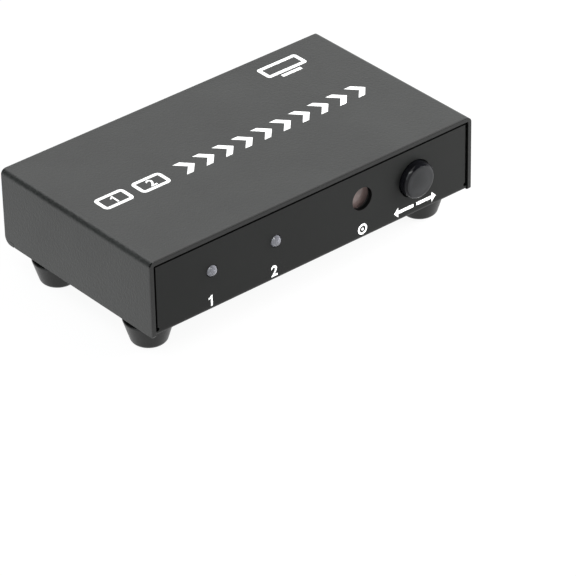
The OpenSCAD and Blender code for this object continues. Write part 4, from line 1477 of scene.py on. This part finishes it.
@dataclass
class SelectButton:
    """Round button with a domed satin face, a glossy side and a rim behind the panel."""

    radius: float = 4.9
    edge: float = 1.25
    dome: float = 0.35
    rim: float = 0.8
    rim_from_front: float = 4.1
    hub: float = 3.0
    bore: float = 1.53
    bore_depth: float = 1.6
    bore_round: float = 0.1
    hub_round: float = 0.2
    rim_round: float = 0.15
    face_steps: int = 8
    satin_from: float = 0.9

    def build(self) -> None:
        """Turn the button from its hub to the middle of its face."""
        low, high = box_mm("select_button")
        centre = middle("select_button")
        length = high.y - low.y
        rim_front = length - self.rim_from_front
        rim_rear = rim_front - self.rim
        widest = high.x - centre.x
        shoulder = length - self.dome
        face = self.radius - self.edge
        shares = [1 - step / self.face_steps for step in range(1, self.face_steps + 1)]
        profile = [
            (0.0, self.bore_depth, 0.0),
            (self.bore, self.bore_depth, 0.0),
            (self.bore, 0.0, self.bore_round),
            (self.hub, 0.0, self.hub_round),
            (self.hub, rim_rear, 0.0),
            (widest, rim_rear, self.rim_round),
            (widest, rim_front, self.rim_round),
            (self.radius, rim_front, 0.0),
            (self.radius, shoulder, self.edge),
            *((face * share, length - self.dome * share ** 2, 0.0) for share in shares),
        ]
        blank = Blank()
        blank.lathe(profile, Axis.FRONT, Vector((centre.x, high.y, centre.z)))
        piece = soften(blank.piece("select_cap"), 0.0)
        mount(piece, BUTTON_GLOSS, "select_button", body=Body.BUTTON)
        piece.data.materials.append(BUTTON_SATIN.material())
        for polygon in piece.data.polygons:
            polygon.material_index = int(polygon.normal.y < -self.satin_from)


@dataclass
class VideoSocket:
    """Video socket: a metal can, an insulator with its tongue, and the can's springs."""

    name: str
    wall: float = 0.4
    slant_width: float = 1.9
    slant_height: float = 2.0
    corner: float = 0.6
    leg_width: float = 1.6
    can_edge: float = 0.08
    legs_from_back: Pair = (3.0, 8.0)
    back_depth: float = 3.2
    tongue_width: float = 11.4
    tongue: float = 1.2
    tongue_back: float = 1.6
    insulator_corner: float = 0.2
    insulator_edge: float = 0.15
    spring_width: float = 1.7
    spring_length: float = 4.6
    spring_bulge: float = 0.35
    spring_sheet: float = 0.18
    spring_start: float = 1.2
    spring_peak: float = 0.35
    spring_round: float = 1.2
    spring_gap: float = 0.02
    springs_x: Pair = (-3.3, 3.3)

    NAMES = ("video_out", "video_in_1", "video_in_2")

    def corners(self, grow: float, corner: float) -> list[Corner]:
        """Give the socket's outline with its slanted lower corners.

        Args:
            grow: How far the outline lies outside the can, or inside where it is negative.
            corner: Radius of its corners.

        Returns:
            X, Z and radius of each corner.
        """
        low, high = self._box()
        flat = high.x - self.slant_width + grow
        points = [
            (high.x + grow, high.z + grow),
            (high.x + grow, low.z + self.slant_height - grow),
            (flat, low.z - grow),
        ]
        mid = (low.x + high.x) / 2
        mirrored = [(2 * mid - x, z) for x, z in reversed(points)]
        return [(x, z, corner) for x, z in points + mirrored]

    def build(self) -> None:
        """Make the can, the insulator and the springs."""
        self._can()
        self._insulator()
        self._springs()

    def _box(self) -> tuple[Vector, Vector]:
        """Give the can's box above the board."""
        low, high = box_mm(self.name + "_shell")
        return Vector((low.x, low.y, box_mm("main_board")[1].z)), high

    def _can(self) -> None:
        """Draw the can out of its outline, with four legs through the board."""
        low, high = self._box()
        blank = Blank()
        mouth = blank.flat(Plane.FRONT, high.y, self.corners(0.0, self.corner))
        blank.draw_out(mouth, Vector((0, low.y - high.y, 0)))
        feet_z = box_mm(self.name + "_shell")[0].z
        for x in (low.x, high.x):
            for start in self.legs_from_back:
                y = low.y + start
                half = self.leg_width / 2
                top = low.z + self.slant_height + self.corner
                leg = [(y - half, top), (y + half, top), (y + half, feet_z), (y - half, feet_z)]
                blank.cap(blank.flat(Plane.SIDE, x, leg))
        can = soften(blank.piece(self.name + "_can"), self.can_edge, self.wall)
        mount(can, NICKEL, self.name + "_shell")

    def _insulator(self) -> None:
        """Make the block at the back of the can and the tongue in front of it."""
        low, high = self._box()
        blank = Blank()
        rear = blank.flat(Plane.FRONT, low.y, self.corners(-self.wall, self.insulator_corner))
        blank.cap(rear)
        blank.cap(blank.draw_out(rear, Vector((0, self.back_depth, 0))))
        mid = (low + high) / 2
        reach = Vector((self.tongue_width / 2, 0, self.tongue / 2))
        start = Vector((mid.x, low.y + self.back_depth - self.wall, mid.z))
        blank.block(start - reach, Vector((mid.x, high.y - self.tongue_back, mid.z)) + reach)
        tongue = soften(blank.piece(self.name + "_tongue"), self.insulator_edge)
        mount(tongue, BLACK_PLASTIC, self.name + "_insulator")

    def _springs(self) -> None:
        """Make the four springs of the can that press on the plug."""
        low, high = self._box()
        mid = (low + high) / 2
        blank = Blank()
        for way, wall_z in ((-1, high.z - self.wall), (1, low.z + self.wall)):
            for x in self.springs_x:
                start = high.y - self.spring_start
                peak = start - self.spring_length * self.spring_peak
                end_z = wall_z + way * self.spring_gap
                shape = [
                    (start, end_z, 0.0),
                    (peak, wall_z + way * self.spring_bulge, self.spring_round),
                    (start - self.spring_length, end_z, 0.0),
                ]
                left = mid.x + x - self.spring_width / 2
                places = ((Plane.SIDE.place(y, z, left), radius) for y, z, radius in shape)
                wire = blank.outline(places, closed=False)
                blank.draw_out(wire, Vector((self.spring_width, 0, 0)))
        mount(soften(blank.piece(self.name + "_springs"), 0.0, self.spring_sheet), NICKEL)


@dataclass
class PowerInlet:
    """Housing of the power inlet: a block behind the panel and a round nose through it."""

    nose: float = 4.0
    bore: float = 3.2
    bore_depth: float = 9.5
    axis_above_board: float = 6.5
    corner: float = 0.5
    edge: float = 0.2

    def axis_z(self) -> float:
        """Give the height of the inlet's axis."""
        return box_mm("main_board")[1].z + self.axis_above_board

    def build(self) -> None:
        """Draw the block, the nose and the bore as one closed skin."""
        low, high = box_mm("power_jack_housing")
        panel_y = box_mm("cover")[1].y
        rim = [(low.x, low.z), (high.x, low.z), (high.x, high.z), (low.x, high.z)]
        centre = Vector(((low.x + high.x) / 2, high.y, self.axis_z()))
        blank = Blank()
        block = blank.flat(Plane.FRONT, panel_y, ((x, z, self.corner) for x, z in rim))
        ring = blank.circle(Plane.FRONT, centre.x, centre.z, panel_y, self.nose)
        blank.fill(block + ring, Plane.FRONT)
        blank.cap(blank.draw_out(block, Vector((0, low.y - panel_y, 0))))
        front = blank.draw_out(ring, Vector((0, high.y - panel_y, 0)))
        mouth = blank.draw_out(front, Vector((0, 0, 0)))
        blank.shrink(mouth, centre, self.bore / self.nose)
        blank.cap(blank.draw_out(mouth, Vector((0, -self.bore_depth, 0))))
        mount(soften(blank.piece("power_inlet_body"), self.edge), BLACK_PLASTIC, "power_jack_housing")


class Print:
    """Marks of white ink on one face of the case, drawn flat in X and Y as that face is seen."""

    INK_HEIGHT = 0.03
    INK_SINK = 0.01
    DOT_SHARE = 0.7
    BOLDER = 0.02
    LEAST_CORNER = 0.1
    ONE = (
        (0.01, -0.5), (0.18, -0.5), (0.18, 0.5), (0.05, 0.5),
        (-0.07, 0.36), (-0.22, 0.28), (-0.22, 0.13), (0.01, 0.24),
    )

    def __init__(self, side: Side, level: Vector) -> None:
        """Start a print.

        Args:
            side: Face that it lies on.
            level: A point of that face on the axes of the drawing.
        """
        self.side = side
        self.level = level
        self.blank = Blank()

    def polygon(self, points: Iterable[Pair]) -> None:
        """Print a filled outline."""
        self.blank.fill(self.blank.flat(Plane.FLOOR, 0.0, points), Plane.FLOOR)

    def frame(self, x: float, y: float, width: float, height: float, stroke: float, corner: float) -> None:
        """Print a rectangular frame with round corners.

        Args:
            x: Place of its middle.
            y: Place of its middle.
            width: Outer width.
            height: Outer height.
            stroke: Width of its line.
            corner: Outer radius of its corners.
        """
        edges = []
        for inset in (0.0, stroke):
            half_x, half_y = width / 2 - inset, height / 2 - inset
            corners = [(-half_x, -half_y), (half_x, -half_y), (half_x, half_y), (-half_x, half_y)]
            radius = max(corner - inset, self.LEAST_CORNER)
            edges += self.blank.flat(Plane.FLOOR, 0.0, ((x + u, y + v, radius) for u, v in corners))
        self.blank.fill(edges, Plane.FLOOR)

    def arrow(self, tail: float, tip: float, y: float, stroke: float, head: float) -> None:
        """Print an arrow along X.

        Args:
            tail: X of its blunt end.
            tip: X of its point.
            y: Height of its line.
            stroke: Width of its line.
            head: Half the width of its head, and the head's length.
        """
        way = math.copysign(1.0, tip - tail)
        neck = tip - way * head
        half = stroke / 2
        upper = [(tail, half), (neck, half), (neck, head)]
        lower = [(x, -v) for x, v in reversed(upper)]
        self.polygon((x, y + v) for x, v in upper + [(tip, 0.0)] + lower)

    def chevron(self, x: float, y: float, stroke: float, reach: float, height: float) -> None:
        """Print a bent bar that points to +X.

        Args:
            x: Left end of the bar.
            y: Middle of its height.
            stroke: Width of the bar along X.
            reach: How far its point lies in front of its ends.
            height: Height of the bar.
        """
        half = height / 2
        left = [(0.0, -half), (reach, 0.0), (0.0, half)]
        right = [(u + stroke, v) for u, v in reversed(left)]
        self.polygon((x + u, y + v) for u, v in left + right)

    def target(self, x: float, y: float, radius: float, stroke: float) -> None:
        """Print a ring round a dot.

        Args:
            x: Place of the dot.
            y: Place of the dot.
            radius: Outer radius of the ring.
            stroke: Width of the ring.
        """
        edges = []
        for ring in (radius, radius - stroke):
            edges += self.blank.circle(Plane.FLOOR, x, y, 0.0, ring)
        self.blank.fill(edges, Plane.FLOOR)
        self.blank.cap(self.blank.circle(Plane.FLOOR, x, y, 0.0, stroke * self.DOT_SHARE))

    def number(self, number: int, x: float, y: float, height: float) -> None:
        """Print a plain number, 1 or 2.

        Args:
            number: The number.
            x: Place of its middle.
            y: Place of its middle.
            height: Its height.
        """
        if number == 1:
            self.polygon((x + u * height, y + v * height) for u, v in self.ONE)
        else:
            self._digit(str(number), x, y, height)

    def _digit(self, text: str, x: float, y: float, height: float) -> None:
        """Print a number from the program's own typeface.

        Args:
            text: The number.
            x: Place of its middle.
            y: Place of its middle.
            height: Its height.
        """
        curve = bpy.data.curves.new("number", "FONT")
        curve.body = text
        curve.offset = self.BOLDER
        holder = bpy.data.objects.new("number", curve)
        mesh = bpy.data.meshes.new_from_object(holder)
        known = set(self.blank.bm.verts)
        self.blank.bm.from_mesh(mesh)
        made = [vert for vert in self.blank.bm.verts if vert not in known]
        lows = [min(vert.co[axis] for vert in made) for axis in (0, 1)]
        highs = [max(vert.co[axis] for vert in made) for axis in (0, 1)]
        size = height / (highs[1] - lows[1])
        centre = Vector(((lows[0] + highs[0]) / 2, (lows[1] + highs[1]) / 2, 0))
        place = Matrix.Translation((x, y, 0)) @ Matrix.Scale(size, 4) @ Matrix.Translation(-centre)
        bmesh.ops.transform(self.blank.bm, matrix=place, verts=made)
        bpy.data.objects.remove(holder)
        bpy.data.curves.remove(curve)
        bpy.data.meshes.remove(mesh)

    def press(self, name: str) -> None:
        """Give the ink its height, lay it on its face and mount it.

        Args:
            name: Name of the piece.
        """
        bm = self.blank.bm
        raised = bmesh.ops.extrude_face_region(bm, geom=bm.faces[:])["geom"]
        verts = [item for item in raised if isinstance(item, BMVert)]
        bmesh.ops.translate(bm, verts=verts, vec=Vector((0, 0, self.INK_HEIGHT + self.INK_SINK)))
        turn = self.side.matrix()
        sink = turn @ Vector((0, 0, -self.INK_SINK))
        bmesh.ops.transform(bm, matrix=Matrix.Translation(self.level + sink) @ turn, verts=bm.verts[:])
        piece = self.blank.piece(name)
        piece.data.set_sharp_from_angle(angle=INK_SHARP)
        mount(piece, INK)


@dataclass
class CaseMarks:
    """White signs on the case: plain numbers, arrows and a screen."""

    digit: float = 3.1
    digit_z: float = 11.85
    digit_shift: float = -0.7
    ring: Pair = (1.5, 0.55)
    double_arrow: Pair = (0.5, 7.0)
    double_arrow_drop: float = 0.1
    double_arrow_stroke: float = 0.9
    double_arrow_head: float = 1.4
    band_y: float = -0.2
    band_height: float = 5.7
    band_stroke: float = 2.1
    source_x: Pair = (-39.5, -28.0)
    source_width: float = 9.0
    source_stroke: float = 1.0
    source_corner: float = 1.3
    source_digit: float = 3.0
    chevrons: int = 10
    chevron_x: float = -19.0
    chevron_pitch: float = 6.2
    chevron_reach: float = 2.6
    screen: Pair = (32.8, 21.3)
    screen_size: Pair = (13.0, 7.2)
    screen_foot: Pair = (6.4, 1.1)
    screen_space: float = 1.8
    screen_corner: float = 0.9
    rear_sign_z: float = 24.6
    rear_arrow: float = 3.0
    rear_arrow_stroke: float = 0.8
    rear_arrow_head: float = 1.3

    def build(self) -> None:
        """Print the three faces."""
        self._front()
        self._top()
        self._rear()

    def _front(self) -> None:
        """Number the lamps, and mark the window by a ring and the button by two arrows."""
        front = box_mm("chassis")[0].y
        sheet = Print(Side.FRONT, Vector((0, front, 0)))
        for number in (1, 2):
            x = middle(f"lamp_{number}_lens").x + self.digit_shift
            sheet.number(number, x, self.digit_z, self.digit)
        sheet.target(middle("ir_window").x, self.digit_z, *self.ring)
        button = middle("select_button").x
        arrow_z = self.digit_z - self.double_arrow_drop
        for way in (-1, 1):
            tail, tip = (button + way * reach for reach in self.double_arrow)
            sheet.arrow(tail, tip, arrow_z, self.double_arrow_stroke, self.double_arrow_head)
        sheet.press("front_marks")

    def _top(self) -> None:
        """Show two numbered sources, the way of the picture and a screen."""
        sheet = Print(Side.TOP, Vector((0, 0, box_mm("cover")[1].z)))
        for number, x in enumerate(self.source_x, start=1):
            sheet.frame(
                x, self.band_y, self.source_width, self.band_height, self.source_stroke, self.source_corner
            )
            sheet.number(number, x, self.band_y, self.source_digit)
        for step in range(self.chevrons):
            x = self.chevron_x + step * self.chevron_pitch
            sheet.chevron(x, self.band_y, self.band_stroke, self.chevron_reach, self.band_height)
        x, y = self.screen
        width, height = self.screen_size
        foot_width, stroke = self.screen_foot
        space = self.screen_space
        sheet.frame(x, y + space / 2, width, height - space, stroke, self.screen_corner)
        left, right = x - foot_width / 2, x + foot_width / 2
        low, high = y - height / 2, y - height / 2 + stroke
        sheet.polygon([(left, low), (right, low), (right, high), (left, high)])
        sheet.press("top_marks")

    def _rear(self) -> None:
        """Number the inputs and mark the output by an arrow, seen from behind."""
        sheet = Print(Side.REAR, Vector((0, box_mm("rear_panel")[1].y, 0)))
        for number in (1, 2):
            x = middle(f"video_in_{number}_shell").x
            sheet.number(number, -x, self.rear_sign_z, self.digit)
        x = -middle("video_out_shell").x
        tail, tip = x - self.rear_arrow, x + self.rear_arrow
        sheet.arrow(tail, tip, self.rear_sign_z, self.rear_arrow_stroke, self.rear_arrow_head)
        sheet.press("rear_marks")


def dress_carried_nodes() -> None:
    """Give every CAD node that still shows the finish of its slot."""
    by_slot = {finish.slot: finish for finish in CARRIED_FINISHES}
    for part in frame["record"]["subparts"]:
        node = frame["nodes"][part["node"]]
        if node.hide_render:
            continue
        finish = by_slot[part["material_slot"]]
        for holder in node.material_slots:
            holder.material = finish.material()
        log.info("%s carried over in %s", node.name, finish.name)


def screw_groups() -> list[CrossHeadScrews]:
    """Give the groups of screws with the seats of their heads.

    Returns:
        The screws of the cover, of the feet and of the board.
    """
    cover, feet, board = (box_mm(node) for node in ("cover_screws", "foot_screws", "board_screws"))
    rear_y = box_mm("rear_panel")[1].y
    board_z = box_mm("main_board")[1].z
    washer_z = box_mm("foot_washers")[0].z
    plate, sheet = RearPlate(), ChassisSheet()
    screw_z = middle("cover_screws").z
    cover_seats = [Vector((side * plate.screws_x, rear_y, screw_z)) for side in (-1, 1)]
    foot_seats = [Vector((*middle(node).xy, washer_z)) for node in FEET]
    standoffs = (sheet.front_standoff, sheet.rear_standoff)
    board_seats = [Vector((side * x, y, board_z)) for x, y in standoffs for side in (-1, 1)]
    return [
        CrossHeadScrews("cover_screws", Axis.BACK, cover_seats, rear_y - cover[0].y),
        CrossHeadScrews("foot_screws", Axis.DOWN, foot_seats, feet[1].z - washer_z),
        CrossHeadScrews("board_screws", Axis.UP, board_seats, board_z - board[0].z),
    ]


def main() -> None:
    """Build the picture and every piece."""
    logging.basicConfig(level=logging.INFO, format="%(message)s")
    Studio().build()
    CoverShell().build()
    ChassisSheet().build()
    RearPlate().build()
    for node in FEET:
        RubberFoot(node).build()
    FootWashers().build()
    for group in screw_groups():
        group.build()
    for number in (1, 2):
        IndicatorLamp(number).build()
    InfraredWindow().build()
    SelectButton().build()
    for name in VideoSocket.NAMES:
        VideoSocket(name).build()
    PowerInlet().build()
    CaseMarks().build()
    dress_carried_nodes()


if __name__ == "__main__":
    main()
